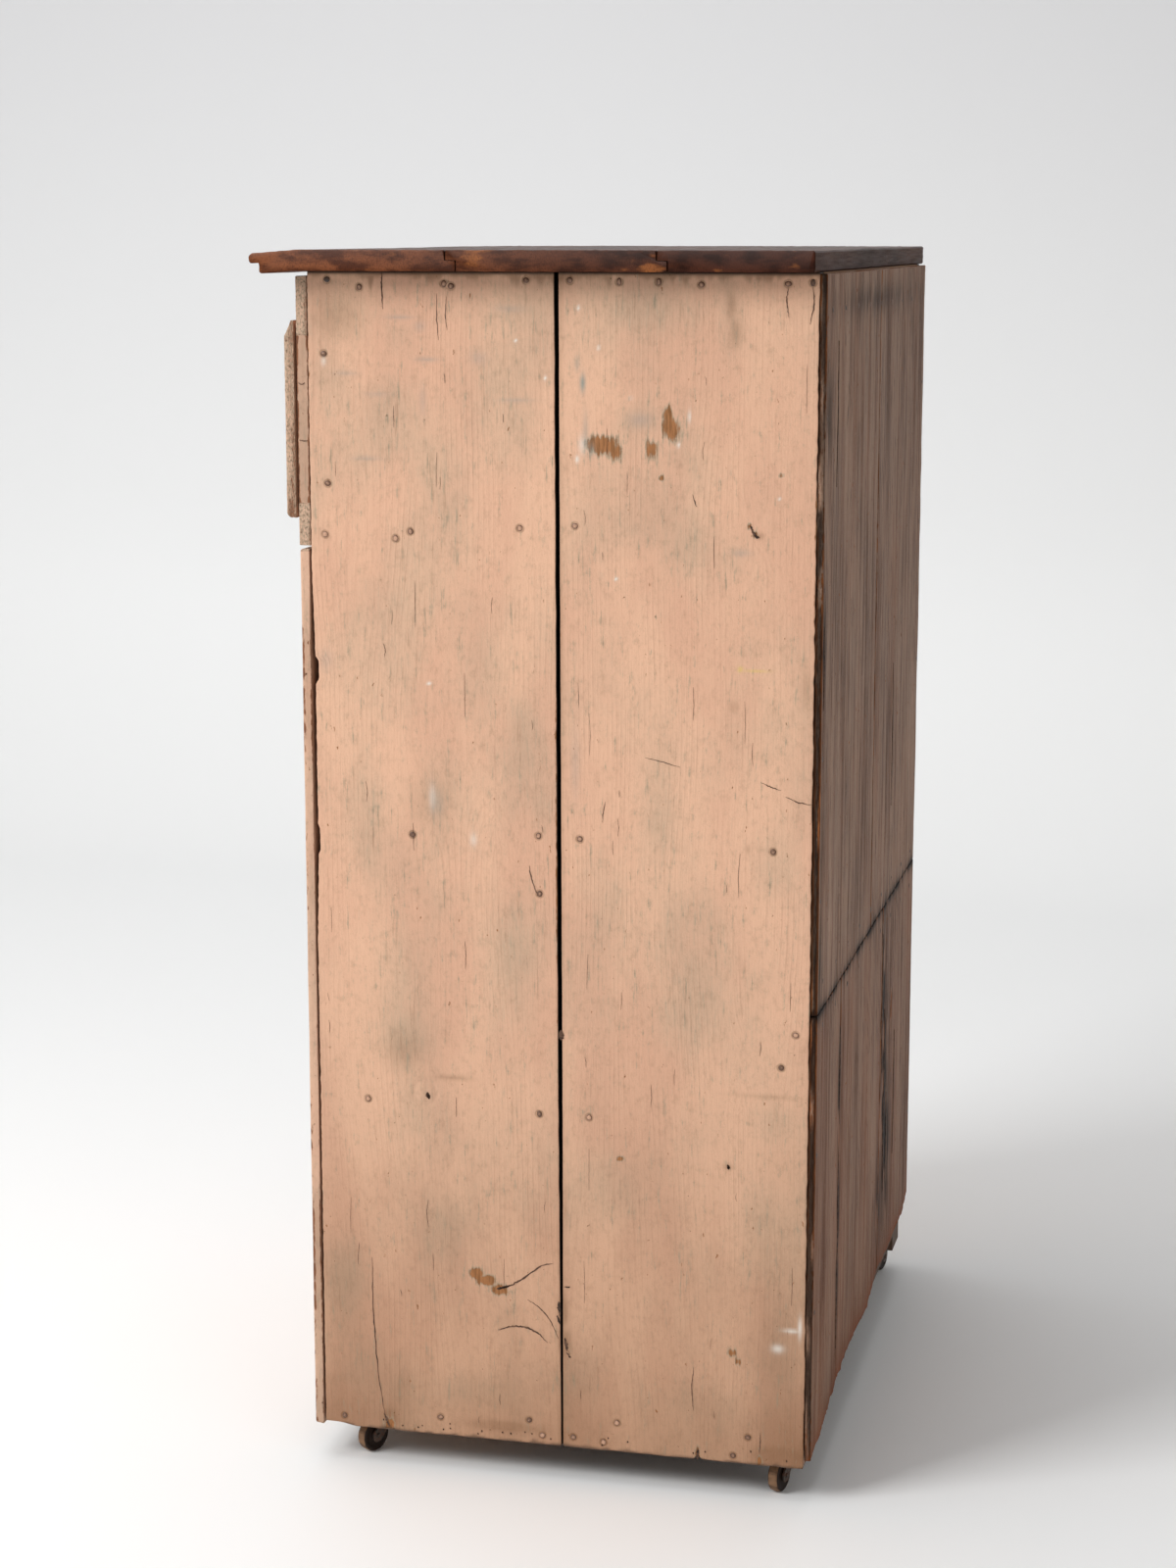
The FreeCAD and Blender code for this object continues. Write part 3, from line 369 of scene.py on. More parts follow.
def new_group(name, inputs, outputs):
    """An empty shader group with named sockets: the group, what comes in and where it goes out."""
    group = bpy.data.node_groups.new(name, "ShaderNodeTree")
    for way, sockets in (("INPUT", inputs), ("OUTPUT", outputs)):
        for label, kind in sockets.items():
            group.interface.new_socket(label, in_out=way, socket_type="NodeSocket" + kind)
    entry = group.nodes.new("NodeGroupInput")
    return group, [Wire(entry.outputs[label]) for label in inputs], group.nodes.new(
        "NodeGroupOutput")


def new_material(name):
    """A material, its nodes and its shader."""
    material = bpy.data.materials.new(name)
    material.use_nodes = True
    return material, material.node_tree, material.node_tree.nodes["Principled BSDF"]


def bumped(height, distance, strength=0.6):
    """The normal of a face that is raised by this height."""
    return wire(height.socket.id_data, "Bump", 0, {"Height": height, "Distance": distance,
                                                   "Strength": strength})


def stored(tree, name, output="Fac"):
    """What the piece's points store under this name."""
    return wire(tree, "Attribute", output, {}, attribute_name=name, attribute_type="GEOMETRY")


def in_frame(tree):
    """Where a point is in the frame."""
    return wire(tree, "TexCoord", "Object", {})


def board_place(tree):
    """Where a point is on its board: across and along the grain on a face, and in the plane of
    the cut on an end."""
    x, y, z = wires(tree, "SeparateXYZ", {0: in_frame(tree)})
    cut = wire(tree, "CombineXYZ", 0, {0: x + z, 1: y * 20.0})
    return wire(tree, "Mix", 1, {0: stored(tree, "end_grain"), 4: stored(tree, "grain", "Vector"),
                                 5: cut}, data_type="VECTOR")


# Wood grain, shared by every board: streaks and hairs along the grain, the late wood of each
# growth ring as a thin line, slow blotches, and a few small specks.
grain_group, (at, rings), gives = new_group(
    "wood_grain", {"Place": "Vector", "Rings": "Float"},
    dict.fromkeys(("Streak", "Hair", "Late wood", "Blotch", "Speck"), "Float"))
ring_line = ((rings * (2 * math.pi)).maths("SINE") * 0.5 + 0.5).maths("POWER", 4.0)
feed(gives, {
    "Streak": noise(at, (380.0, 20.0, 7.0), 4.0, 0.62),
    "Hair": noise(at, (1100.0, 55.0, 7.0), 2.0, 0.6),
    "Late wood": ring_line * step_up(noise(at, (40.0, 9.0, 7.0)), 0.35, 0.7),
    "Blotch": noise(at, (14.0, 5.0, 5.0), 5.0, 0.55),
    "Speck": step_up(noise(at, (330.0, 240.0, 9.0), 2.0), 0.74, 0.79)})


def grain_at(place, rings):
    """The five outputs of the wood grain at a place."""
    return wires(place.socket.id_data, "Group", {"Place": place, "Rings": rings},
                 node_tree=grain_group)


# Old paint, shared by all painted boards: two tones of the top coat, the grey coat hazy through
# it, dirt in the grain, a dark ring round each nail that is partly dirt and partly painted shade
# of its hollow, and bare wood where it is rubbed or chipped.
PAINT_COLOURS = ("Top coat", "Second tone", "Under coat", "Bare wood", "Dirt")
PAINT_SHARES = ("Grey share", "Bare share", "Dirt share", "Edge wear", "Chipping", "Streaking")
paint_group, given, gives = new_group(
    "old_paint",
    {"Place": "Vector", "Rings": "Float", "Nail": "Vector",
     **dict.fromkeys(PAINT_COLOURS, "Color"), **dict.fromkeys(PAINT_SHARES, "Float")},
    {"Color": "Color", "Roughness": "Float", "Height": "Float"})
at, rings, nail, top_coat, second_tone, under_coat, bare_wood, dirt = given[:8]
grey_share, bare_share, dirt_share, edge_wear, chipping, streaking = given[8:]
streak, hair, late, blotch, speck = grain_at(at, rings)
broad = noise(at, (75.0, 2.6, 5.0), 5.0, 0.65)
cloud = noise(at, (15.0, 8.0, 3.0), 5.0, 0.55)
fibre = noise(at, (420.0, 45.0, 9.0), 4.0, 0.66)
film = noise(at, (170.0, 110.0, 9.0), 6.0, 0.74)
pitted = noise(at, (560.0, 300.0, 9.0), 4.0, 0.65)
chip = noise(at, (230.0, 110.0, 11.0), 4.0, 0.6)
haze = step_up(cloud + grey_share * 0.34 + (film - 0.5) * 0.22, 0.40, 0.94)
groove = step_up(streak + hair * 0.45, 0.78, 0.98) * (haze * 0.30 + streaking + 0.08)
from_nail = wire(paint_group, "VectorMath", "Value", {0: nail}, operation="LENGTH")
# Dark ring round each nail head: partly dirt and partly painted shade of the hollow round it.
nail_ring_dirt_and_shade = step_up(from_nail, 0.0022, 0.0029) * ~step_up(from_nail, 0.0031, 0.0046)
worn = bare_share + (fibre - 0.5) * 0.8 + (streak - 0.5) * 0.7 + (film - 0.5) * 0.6
coat = layered(
    top_coat,
    (step_up(blotch, 0.36, 0.64), second_tone),
    (step_up(broad, 0.36, 0.62) * streaking, under_coat),
    (haze * 0.44, under_coat),
    (step_up(fibre, 0.50, 0.70) * (haze * 0.38 + 0.05), under_coat),
    (step_up(film, 0.46, 0.74) * 0.18, dirt),
    (step_up(pitted, 0.56, 0.76) * 0.14, dirt),
    (groove, dirt),
    (late * (streaking + 0.03), dirt),
    (dirt_share * (blotch * 0.9 + 0.2), dirt),
    (speck * (dirt_share * 1.8 + 0.35), dirt),
    (nail_ring_dirt_and_shade * (film * 1.5 - 0.3), dirt),
    (step_up(worn, 0.10, 0.30) * 0.7, under_coat))
edge_loss = step_up(edge_wear * (chip * 1.1 + blotch * 1.5 - 0.75), 0.38, 0.52)
chipped = step_up(chipping * 0.5 + chip, 0.70, 0.74)
bare = step_up(worn, 0.23, 0.45).maths("MAXIMUM", edge_loss.maths("MAXIMUM", chipped))
wood = mixed(step_up(fibre, 0.44, 0.62) * 0.6, bare_wood, dirt)
feed(gives, {
    "Color": mixed(bare, coat, wood),
    "Roughness": bare * 0.25 + streak * 0.20 + 0.42,
    "Height": film + streak * 0.4 + hair * 0.15 + late * 0.3 - bare * 0.8 - pitted * 0.3})


def painted(name, colours, grey=0.0, dirt=0.0, edge_wear=1.0, chipping=0.0, streaking=0.0,
            end_wear=0.0, bump=0.0004, gloss=0.3, stored_marks=(), stains=()):
    """Old paint on one kind of board: its five colours, its kinds of wear, its gloss, and the
    stains that it takes from marks stored on the board."""
    material, tree, shader = new_material(name)
    marks = {"grey": grey, "dirt": dirt, "bare": 0.0}
    marks.update((mark, stored(tree, mark)) for mark in stored_marks)
    end = stored(tree, "end_grain")
    edge = stored(tree, "edge") * edge_wear * ~(end * 0.12)
    shares = (marks["grey"], end * end_wear + marks["bare"], marks["dirt"], edge, chipping,
              streaking)
    colour, roughness, height = wires(tree, "Group", {
        "Place": board_place(tree), "Rings": stored(tree, "rings") * ~end,
        "Nail": stored(tree, "nail", "Vector"), **dict(zip(PAINT_COLOURS, colours)),
        **dict(zip(PAINT_SHARES, shares))}, node_tree=paint_group)
    colour = layered(colour, *((stored(tree, mark), tint) for mark, tint in stains))
    feed(shader, {"Base Color": colour, "Roughness": roughness, "Specular IOR Level": gloss,
                  "Normal": bumped(height, bump, 0.7)})
    return material


GREY_COAT = seen(162, 150, 127)
# The near-black stain paints the shade inside the seam and the shadow line under the top, and
# darkens scuffs along the foot.
side_paint = painted(
    "side_paint", (seen(230, 184, 153), seen(221, 173, 144), GREY_COAT, seen(166, 112, 70),
                   seen(108, 74, 40)),
    edge_wear=0.55, bump=0.0007, stored_marks=("grey", "bare", "dirt"),
    stains=(("smudge", seen(158, 148, 140)), ("pale", seen(236, 230, 220)),
            ("teal", seen(112, 138, 136)), ("yellow", seen(222, 190, 110)),
            ("ochre", seen(150, 94, 48)), ("sooty", seen(26, 18, 15))))

# Marks on the right side: distance from the front edge, height above the foot, half width, half
# height and strength. Then its knots, with their size, and its nails.
MARKS = {
    "bare": (
        (253, 876, 13, 8.5, 0.72), (264, 870, 6, 9, 0.5), (294, 873.5, 7.5, 8.5, 0.55),
        (311, 890, 7.5, 10, 0.75), (308, 901, 4, 7, 0.65), (141, 153, 7, 5, 0.85),
        (150, 147.5, 8.5, 4.5, 0.85), (162, 140, 8, 5, 0.75), (368, 101, 4, 4, 0.6),
        (374, 93, 3, 3, 0.55), (269, 267, 3, 2, 0.7), (381, 805, 3, 3, 0.6),
        (377, 812, 1.5, 3, 0.55), (302.5, 849.6, 2, 2.6, 0.7), (402, 853.8, 3.5, 2, 0.5),
        (339, 4, 2, 9, 0.9), (393, 4, 2, 6, 0.7), (60, 5, 5, 7, 0.8), (298, 735, 1.5, 1.5, 0.5),
        (69, 897, 1.2, 1.2, 0.5)),
    "grey": (
        (30, 975, 35, 25, 0.75), (20, 935, 25, 40, 0.45), (85, 960, 30, 30, 0.6),
        (75, 890, 30, 45, 0.75), (180, 985, 40, 20, 0.65), (175, 940, 35, 30, 0.6),
        (185, 890, 18, 45, 0.55), (35, 860, 25, 40, 0.45), (245, 975, 25, 45, 0.75),
        (290, 985, 60, 18, 0.75), (360, 975, 14, 45, 0.85), (285, 897, 18, 14, 0.85),
        (275, 800, 25, 30, 0.55), (325, 800, 35, 35, 0.8), (365, 785, 20, 22, 0.7),
        (335, 850, 20, 30, 0.5), (90, 720, 40, 80, 0.5), (150, 690, 40, 60, 0.65),
        (190, 620, 25, 60, 0.9), (200, 570, 15, 30, 0.7), (45, 560, 18, 60, 0.8),
        (110, 590, 20, 30, 0.45), (300, 560, 16, 40, 0.8), (380, 640, 30, 50, 0.55),
        (395, 530, 20, 35, 0.8), (345, 480, 35, 40, 0.7), (260, 490, 20, 50, 0.55),
        (180, 440, 20, 60, 0.55), (340, 400, 25, 60, 0.55), (75, 360, 30, 30, 0.85),
        (95, 300, 35, 45, 0.45), (400, 310, 25, 20, 0.65), (260, 230, 30, 40, 0.45),
        (400, 160, 30, 80, 0.55), (115, 195, 22, 35, 0.6), (20, 140, 18, 40, 0.6),
        (225, 60, 30, 25, 0.8), (140, 45, 40, 20, 0.65), (340, 50, 50, 22, 0.7),
        (50, 50, 30, 30, 0.5)),
    "smudge": (
        (81, 978.5, 11, 1.8, 0.45), (98, 971, 5, 4, 0.35), (104, 944, 9, 2, 0.5),
        (33, 932, 10, 2, 0.35), (50, 861.5, 12, 1.6, 0.45), (180, 911.5, 13, 1.8, 0.42),
        (148, 946, 7, 5, 0.35), (175, 986, 12, 3, 0.35), (60, 915, 10, 2, 0.3),
        (100, 910, 3, 12, 0.3), (370, 790, 8, 3, 0.4), (285, 897, 10, 6, 0.4),
        (12, 690, 6, 10, 0.3), (230, 610, 4, 30, 0.3)),
    "dirt": (
        (26, 980, 22, 20, 0.5), (360, 990, 4, 12, 0.55), (364, 968, 5, 12, 0.5),
        (122, 329, 16, 2.2, 0.5), (395, 331, 28, 2.2, 0.42), (363, 267, 4, 3, 0.7),
        (219, 125, 4, 12, 0.85), (220, 96, 5, 12, 0.75), (75, 350, 16, 16, 0.35),
        (105, 570, 18, 22, 0.28), (60, 8, 6, 10, 0.7), (165, 14, 30, 4, 0.55),
        (410, 10, 18, 6, 0.55), (385, 804, 4, 3, 0.6), (378, 543, 2, 4, 0.55),
        (365, 663, 4, 5, 0.35), (425, 680, 4, 16, 0.4), (223, 856, 3, 6, 0.3)),
    "pale": (
        (233, 987, 1.2, 1.8, 1), (180, 960, 1.2, 1.2, 1), (205, 930, 1.2, 1.5, 1),
        (250, 955, 1.2, 1.4, 1), (265, 766, 1.3, 1.3, 1), (103, 673, 1.8, 1.3, 0.9),
        (232, 864, 1.4, 2.6, 0.9), (236, 876, 3, 7, 0.45), (325.9, 900.2, 1, 4.5, 0.8),
        (317.1, 877, 1.1, 2, 0.9), (276.9, 914.6, 2, 1, 0.5), (408, 108, 5, 3.5, 0.8),
        (420, 125, 7, 1.8, 0.8), (427, 128, 1.6, 9, 0.9), (105, 575, 3, 11, 0.4),
        (141, 540, 3, 5, 0.45), (14, 942, 2, 3.4, 0.5), (401, 835, 1.2, 1.2, 0.8)),
    "teal": (
        (236.6, 926.1, 2.2, 7.5, 0.8), (232, 942, 2.2, 6, 0.35), (239, 886, 2.5, 16, 0.35),
        (244, 872, 3, 6, 0.4), (110, 570, 5, 12, 0.25)),
    "yellow": (
        (370, 694, 2.2, 2, 0.9), (383, 693, 10, 1, 0.6))}
KNOTS = {"front": ((96, 314, 13), (105, 575, 16), (175, 105, 16), (160, 600, 20)),
         "rear": ((380, 806, 10), (375, 360, 12))}
NAILS = (
    (18, 1009), (46, 1003), (119, 1006), (125, 1004), (189, 1009), (226, 1009), (267, 1008),
    (300, 1008), (335, 1006), (406, 1007), (426, 1008), (14, 948), (16, 840), (13, 797),
    (75, 795), (88, 801), (183, 806), (230, 809), (87, 542), (198, 546), (234, 545), (399, 542),
    (199, 496), (420, 386), (408, 357), (44, 305), (198, 302), (242, 302), (18, 10), (107, 17),
    (188, 22), (200, 9), (228, 10), (255, 8), (267, 27), (370, 7), (383, 25))
NAIL_RADIUS = 0.0026


def on_side(rows):
    """The distance from the front edge and the height above the foot. The left side is turned
    end for end, because only the right one is photographed."""
    depth_in = rows[:, :, 1] - FRONT_EDGE
    if rows[:, :, 0].mean() < 0:
        depth_in = SIDE_DEPTH - depth_in
    return depth_in, rows[:, :, 2] - FOOT


def from_nail_centres(across, along):
    """The step from the nearest nail to each point, across and along."""
    best = np.full(across.shape, 1e9)
    step = np.zeros(across.shape + (3,))
    for a, l in NAILS:
        aside = np.stack([across - 0.001 * a, along - 0.001 * l, 0 * across], -1)
        far = np.linalg.norm(aside, axis=-1)
        step[far < best] = aside[far < best]
        best = np.minimum(best, far)
    return step


def side_marks(rows, outward):
    """Marks of a side's outer face: the listed ones, darkening toward the foot that is partly dirt
    and partly painted shade, dirt beside the seam and in streaks under the top, and dark all over
    on the other faces. Painted shade also goes near black inside the seam and in a thin shadow
    line just under the top."""
    depth_in, height = on_side(rows)
    outer = np.clip(np.abs(outward[:, :, 0]), 0, 1)
    outer = outer * (np.abs(rows[:, :, 0]) > RIGHT - SIDE_THICK / 2)
    marks = {mark: spots(depth_in, height, places) * outer for mark, places in MARKS.items()}
    below_top = SIDE_HEIGHT - height
    run_down = (ripple(depth_in, 0.0035, 0.5, 91) * ripple(depth_in, 0.014, 0.5, 92)) ** 1.5
    run_down = 0.004 + 0.030 * run_down
    # Darker toward the foot: partly dirt and partly painted shade, where the light falls off
    # downward.
    dirt = (0.46 * ease_out(height, 0.0, 0.50) + 0.30 * ease_out(height, 0.0, 0.09)
            + 0.8 * ease_out(below_top, 0.3 * run_down, run_down)
            + 0.5 * np.exp(-np.abs(depth_in - SEAM_FOOT - SEAM_GAP / 2) / 0.0018)
            + 0.15 * ease_in(depth_in, 0.36, SIDE_DEPTH) * ease_out(height, 0.2, 0.5))
    marks["dirt"] = np.clip(marks["dirt"] + dirt * outer, 0, outer) + 0.9 * (1 - outer)
    marks["ochre"] = 0.15 * ease_out(height, 0.0, 0.35)
    scuffed = 0.0015 + 0.006 * ripple(depth_in, 0.006, 0.5, 93) ** 2
    # Near black: painted shade on the faces inside the seam and a painted shadow line just under
    # the top, with dark scuffs along the foot.
    marks["sooty"] = np.maximum.reduce([
        (1 - outer) * (np.abs(depth_in - SEAM_FOOT) < 0.03),
        0.9 * ease_out(below_top, 0.0006, 0.0028),
        0.6 * ease_out(height, 0.3 * scuffed, scuffed)])
    marks["nail"] = from_nail_centres(depth_in, height) + 0.01 * (1 - outer[:, :, None])
    return marks


def side_relief(rows, outward):
    """Depth taken off a side: a hollow round each nail, and a groove round the loose knot."""
    depth_in, height = on_side(rows)
    depth = spots(depth_in, height, [(a, l, 4.5, 4.5, 0.0005) for a, l in NAILS])
    across, along, size = 0.001 * np.array(KNOTS["front"][0])
    ring = np.hypot((depth_in - across) / (0.77 * size), (height - along) / (0.85 * size))
    depth = depth + 0.0006 * np.exp(-((ring - 1) / 0.18) ** 2)
    return depth * np.clip(np.abs(outward[:, :, 0]), 0, 1)


def ragged_ends(rows):
    """Lean the seam and narrow it toward the foot, splinter the rear edge, make the foot of a
    side uneven by up to 1 mm, with its front corner and two spots broken by 3 to 4 mm, and cut
    the left side's lost corner at 45 degrees, with the rows above it squeezed upward."""
    depth_in = rows[:, :, 1] - FRONT_EDGE
    height = rows[:, :, 2] - FOOT
    near_seam = np.exp(-((depth_in - SEAM_FOOT) / 0.03) ** 2)
    wander = 0.0007 * (ripple(height, 0.015, 3.5, 43) - 0.5)
    closing = 0.0009 * ease_out(height, 0.0, 0.35)
    splinter = 0.0012 * ripple(height, 0.007, 2.5, 45)
    rows[:, :, 1] += (SEAM_TOP - SEAM_FOOT) * height / SIDE_HEIGHT * near_seam
    rows[:, :, 1] += wander * np.exp(-np.abs(depth_in - SEAM_FOOT) / 0.003)
    rows[:, :, 1] += closing * near_seam * np.sign(SEAM_FOOT + SEAM_GAP / 2 - depth_in)
    rows[:, :, 1] -= splinter * np.exp(-(SIDE_DEPTH - depth_in) / 0.003)
    uneven = 0.0010 * ripple(depth_in, 0.011, 7.5, 44)
    uneven += 0.0030 * ease_out(depth_in, 0.010, 0.030)
    for spot, half_width, loss in ((0.060, 0.004, 0.0035), (0.339, 0.002, 0.0040)):
        uneven += loss * np.exp(-((depth_in - spot) / half_width) ** 2)
    rows[:, :, 2] += uneven * ease_out(height, 0.0, 0.012)
    lost = np.clip(depth_in - SIDE_DEPTH + CORNER_LOSS, 0, None) * (rows[:, :, 0] < 0)
    rows[:, :, 2] += lost * np.clip(1 - height / (3 * CORNER_LOSS), 0, 1)
    return rows


def worn_front_edge(rows):
    """Push the front edge of the right side back: a long shallow hollow, a deep chip and a
    shallow one, all fading out over 25 mm behind the edge."""
    depth_in = rows[:, :, 1] - FRONT_EDGE
    height = rows[:, :, 2] - FOOT
    loss = 0.0007 * smooth_noise(height / 0.004, height / 0.02, 41)
    for depth, low, low_end, high_end, high in ((0.0018, 0.44, 0.53, 0.69, 0.78),
                                                (0.0030, 0.668, 0.674, 0.688, 0.694),
                                                (0.0016, 0.520, 0.525, 0.543, 0.548)):
        loss += depth * ease_in(height, low, low_end) * ease_out(height, high_end, high)
    rows[:, :, 1] += loss * ease_out(depth_in, 0.0, 0.025)
    return ragged_ends(rows)


def side_board(hand, part, front, rear, seed, warp, step):
    """One board of a side, a rounded rectangle in section, its outer face in small steps."""
    node = f"side_{hand}_{part}_board"
    low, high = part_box(node)
    section = rectangle(low.x, high.x, front, rear)
    if hand == "left":
        section = rectangle(high.x, low.x, rear, front)
    start = SIDE_THICK - (front - FRONT_EDGE)
    knots = [(0.001 * a + start, 0.001 * l, 0.001 * size) for a, l, size in KNOTS[part]]
    timber(node, "carcass", section, (0.0004, 0.0009, 0.0009, 0.0004), (0.003, step, 0.003, 0.03),
           "z", step * 1.35, seed, side_paint, warp=warp, relief=side_relief,
           marks=side_marks, knots=knots)


for hand, front_warp, step, seed in (("right", worn_front_edge, SIDE_STEP, 11),
                                     ("left", ragged_ends, 2 * SIDE_STEP, 13)):
    side_board(hand, "front", FRONT_EDGE, FRONT_EDGE + SEAM_FOOT, seed, front_warp, step)
    side_board(hand, "rear", FRONT_EDGE + SEAM_FOOT + SEAM_GAP, REAR_EDGE, seed + 6,
               ragged_ends, step)

# The nails of the sides, driven home and painted over: low domes a little out of round, with the
# paint gone from their rims. The row under the top is bare and rusty.
nail_paint, tree, shader = new_material("nail_paint")
flake = noise(in_frame(tree), (700.0, 700.0, 700.0))
rust = stored(tree, "rust")
rim = stored(tree, "rim") * 0.45 + flake * 0.5 + rust * 0.7
feed(shader, {
    "Base Color": layered(seen(205, 160, 132), (step_up(rim, 0.55, 0.95), seen(104, 74, 56)),
                          (step_up(rust * flake, 0.48, 0.62), seen(70, 60, 56))),
    "Roughness": 0.5, "Normal": bumped(flake, 0.0002, 0.5)})


def nail_heads(name, centres, normal, radius, rust):
    """Low domes. Each is five rings of twelve points, of radius r q and a lift that grows to the
    crown, stretched and leaning a little at random, with its lowest ring in the wood."""
    centres = np.array(centres, float)
    count = len(centres)
    random = np.random.default_rng(count)
    normal = np.array(normal, float)
    side = np.array((1.0, 0.0, 0.0) if normal[2] else (0.0, 0.0, 1.0))
    across = np.cross(side, normal)
    angle = np.linspace(0, 2 * math.pi, 13)[:-1]
    share = np.array((1.0, 1.0, 0.90, 0.55, 0.10))[:, None]
    lift = np.array((-0.0012, 0.0001, 0.0004, 0.0006, 0.0007))[:, None]
    stretch = 1 + 0.08 * random.standard_normal((count, 1, 1))
    lean = random.uniform(-0.10, 0.10, (2, count, 1, 1))
    out = radius * share * np.cos(angle) * stretch
    up = radius * share * np.sin(angle) / stretch
    rise = lift + (lean[0] * out + lean[1] * up) * (lift > 0)
    points = (centres[:, None, None, :] + out[..., None] * across + up[..., None] * side
              + rise[..., None] * normal)
    grid = np.arange(count * 60).reshape(count, 5, 12)
    quads = np.concatenate([quads_round(head) for head in grid])
    piece = from_faces(name, points, quads.tolist() + grid[:, -1].tolist()
                       + grid[:, 0, ::-1].tolist(), True)
    give(piece, "rim", np.tile(np.repeat((1.0, 1.0, 0.7, 0.2, 0.0), 12), count))
    give(piece, "rust", np.repeat(rust * random.uniform(0.5, 1.2, count), 60))
    dress(piece, "carcass", nail_paint)


side_rust = np.array([1.0 if l > 990 else 0.70 for a, l in NAILS])
for hand, face, edge, way in (("right", RIGHT - 0.0004, FRONT_EDGE, 1),
                              ("left", 0.0004 - RIGHT, REAR_EDGE, -1)):
    nail_heads(f"side_{hand}_nails",
               [(face, edge + way * 0.001 * a, FOOT + 0.001 * l) for a, l in NAILS],
               (way, 0, 0), NAIL_RADIUS, side_rust)

# Cracks in the right side: drying splits along the grain and round the knots, the hole of the
# loose knot, and fine checks at random. Each is a thin dark sliver let into the face, painted
# shade standing for the depth of the opening. A crack is given by its width and the places that
# it passes.
CRACKS = [
    (1.3, ((66, 1015.5), (65.5, 1005), (66.5, 985))),
    (0.9, ((406, 1003.5), (404.5, 995), (407, 980))),
    (1, ((426, 1004.5), (427.5, 992), (424, 975))),
    (1.6, ((160, 103), (172, 107.5), (185, 108), (197, 103), (205, 95))),
    (0.9, ((187, 133), (198, 127), (208, 115), (214.5, 100))),
    (1.4, ((160, 140), (172, 145), (182, 151), (200, 166), (210, 168))),
    (2.6, ((159, 140.5), (166, 142.5), (172, 145))),
    (1, ((45.5, 160), (45.8, 120), (47, 90), (50, 50), (56, 12))),
    (2.2, ((55, 16), (58, 8), (59.5, 3.5))), (0.6, ((335, 85), (333, 65), (335, 45))),
    (0.8, ((388, 600), (397, 596.5), (405, 594))), (0.9, ((409, 589), (419, 585), (431, 583))),
    (0.6, ((290, 617), (305, 614), (320, 610))), (0.9, ((190, 520), (192, 508), (197, 494))),
    (2.2, ((377, 813), (379, 808), (382, 803.5), (385, 803))),
    (0.7, ((329, 837), (331, 830), (332.5, 827))), (0.7, ((256, 578), (254, 568), (253.5, 560))),
    (0.6, ((113, 998), (112.5, 980), (114, 960))), (0.5, ((121, 996), (120, 980), (121.5, 968))),
    (0.7, ((393, 12), (394, 22), (393.5, 30))), (0.6, ((63, 706), (65, 700), (64, 694))),
    (3.6, ((97.5, 314.5), (98.5, 311.5), (99.5, 308.5))),
    (4.8, ((217.6, 377.5), (217.7, 373), (217.6, 369))),
    (3, ((215, 134), (215.2, 128), (216, 120))), (2.2, ((213.5, 121), (215, 117), (216, 113))),
    (2.6, ((220.5, 101), (221.5, 95), (222.5, 89))), (1.4, ((222, 88), (224.5, 84), (226, 83.5))),
    (1.4, ((220, 148), (223, 147.5), (225, 148))),
    (2.6, ((363, 269), (364, 266.5), (363.5, 265))), (2.4, ((339, 0), (338.8, 5), (339.2, 11)))]


def fine_checks(count, seed):
    """Short cracks that run with the grain, at random places of the side."""
    random = np.random.default_rng(seed)
    across = random.uniform(8, 1000 * SIDE_DEPTH - 8, count)
    across = np.where(np.abs(across - 1000 * SEAM_FOOT) < 6, across + 20, across)
    foot = random.uniform(10, 1000 * SIDE_HEIGHT - 60, count)
    length = 6 + 35 * random.random(count) ** 2
    width = random.uniform(0.14, 0.36, count)
    sway = random.normal(0, 0.6, (count, 2))
    return [(w, ((a, l), (a + s, l + 0.5 * run), (a + t, l + run)))
            for w, a, l, run, (s, t) in zip(width, across, foot, length, sway)]


def pin_holes(count, seed):
    """Small holes along the foot of the side, as worm and old tacks leave."""
    random = np.random.default_rng(seed)
    across = random.uniform(10, 1000 * SIDE_DEPTH - 10, count)
    height = random.uniform(4, 12, count)
    return [(1.1, ((a, l), (a + 0.2, l + 0.6), (a, l + 1.2))) for a, l in zip(across, height)]


def cracks(name, lines, at, normal, body, seed):
    """Slivers in an upright face. Distances run up from the place at, and across it along
    up x normal. A sliver follows a smoothed line with the width w sin(pi s)^0.6 and ragged
    sides, stands 0.15 mm proud and is closed beneath the face."""
    random = np.random.default_rng(seed)
    normal = np.array(normal, float)
    up = np.array((0.0, 0.0, 1.0))
    across = np.cross(up, normal)
    shift = np.array((1.0, -1.0, -0.4, 0.4))
    lift = np.array((0.00015, 0.00015, -0.0008, -0.0008))
    points = []
    faces = []
    for millimetres, corners in lines:
        width = 0.001 * millimetres
        corners = 0.001 * np.array(corners)
        count = 6 * len(corners)
        share = np.linspace(0, 1, count)
        given_at = np.linspace(0, 1, len(corners))
        line = np.stack([np.interp(share, given_at, corners[:, k]) for k in (0, 1)], 1)
        for _ in range(3):
            line[1:-1] = 0.5 * line[1:-1] + 0.25 * (line[:-2] + line[2:])
        line[1:-1] += random.normal(0, min(0.00022, width / 4), (count - 2, 2))
        run = np.gradient(line, axis=0)
        square = np.stack([-run[:, 1], run[:, 0]], 1) / np.hypot(run[:, :1], run[:, 1:])
        half = 0.5 * width * np.sin(math.pi * np.clip(share, 0.02, 0.98)) ** 0.6
        half = half * random.uniform(0.55, 1.3, count)
        flat = line[:, None] + square[:, None] * (half[:, None] * shift)[..., None]
        grid = sum(map(len, points)) + np.arange(count * 4).reshape(count, 4)
        points.append((at + flat[..., :1] * across + flat[..., 1:] * up
                       + lift[:, None] * normal).reshape(-1, 3))
        faces += [quads_round(grid), grid[:1, ::-1], grid[-1:]]
    piece = from_faces(name, np.concatenate(points), np.concatenate(faces).tolist(), False)
    dress(piece, body, crack_dark)
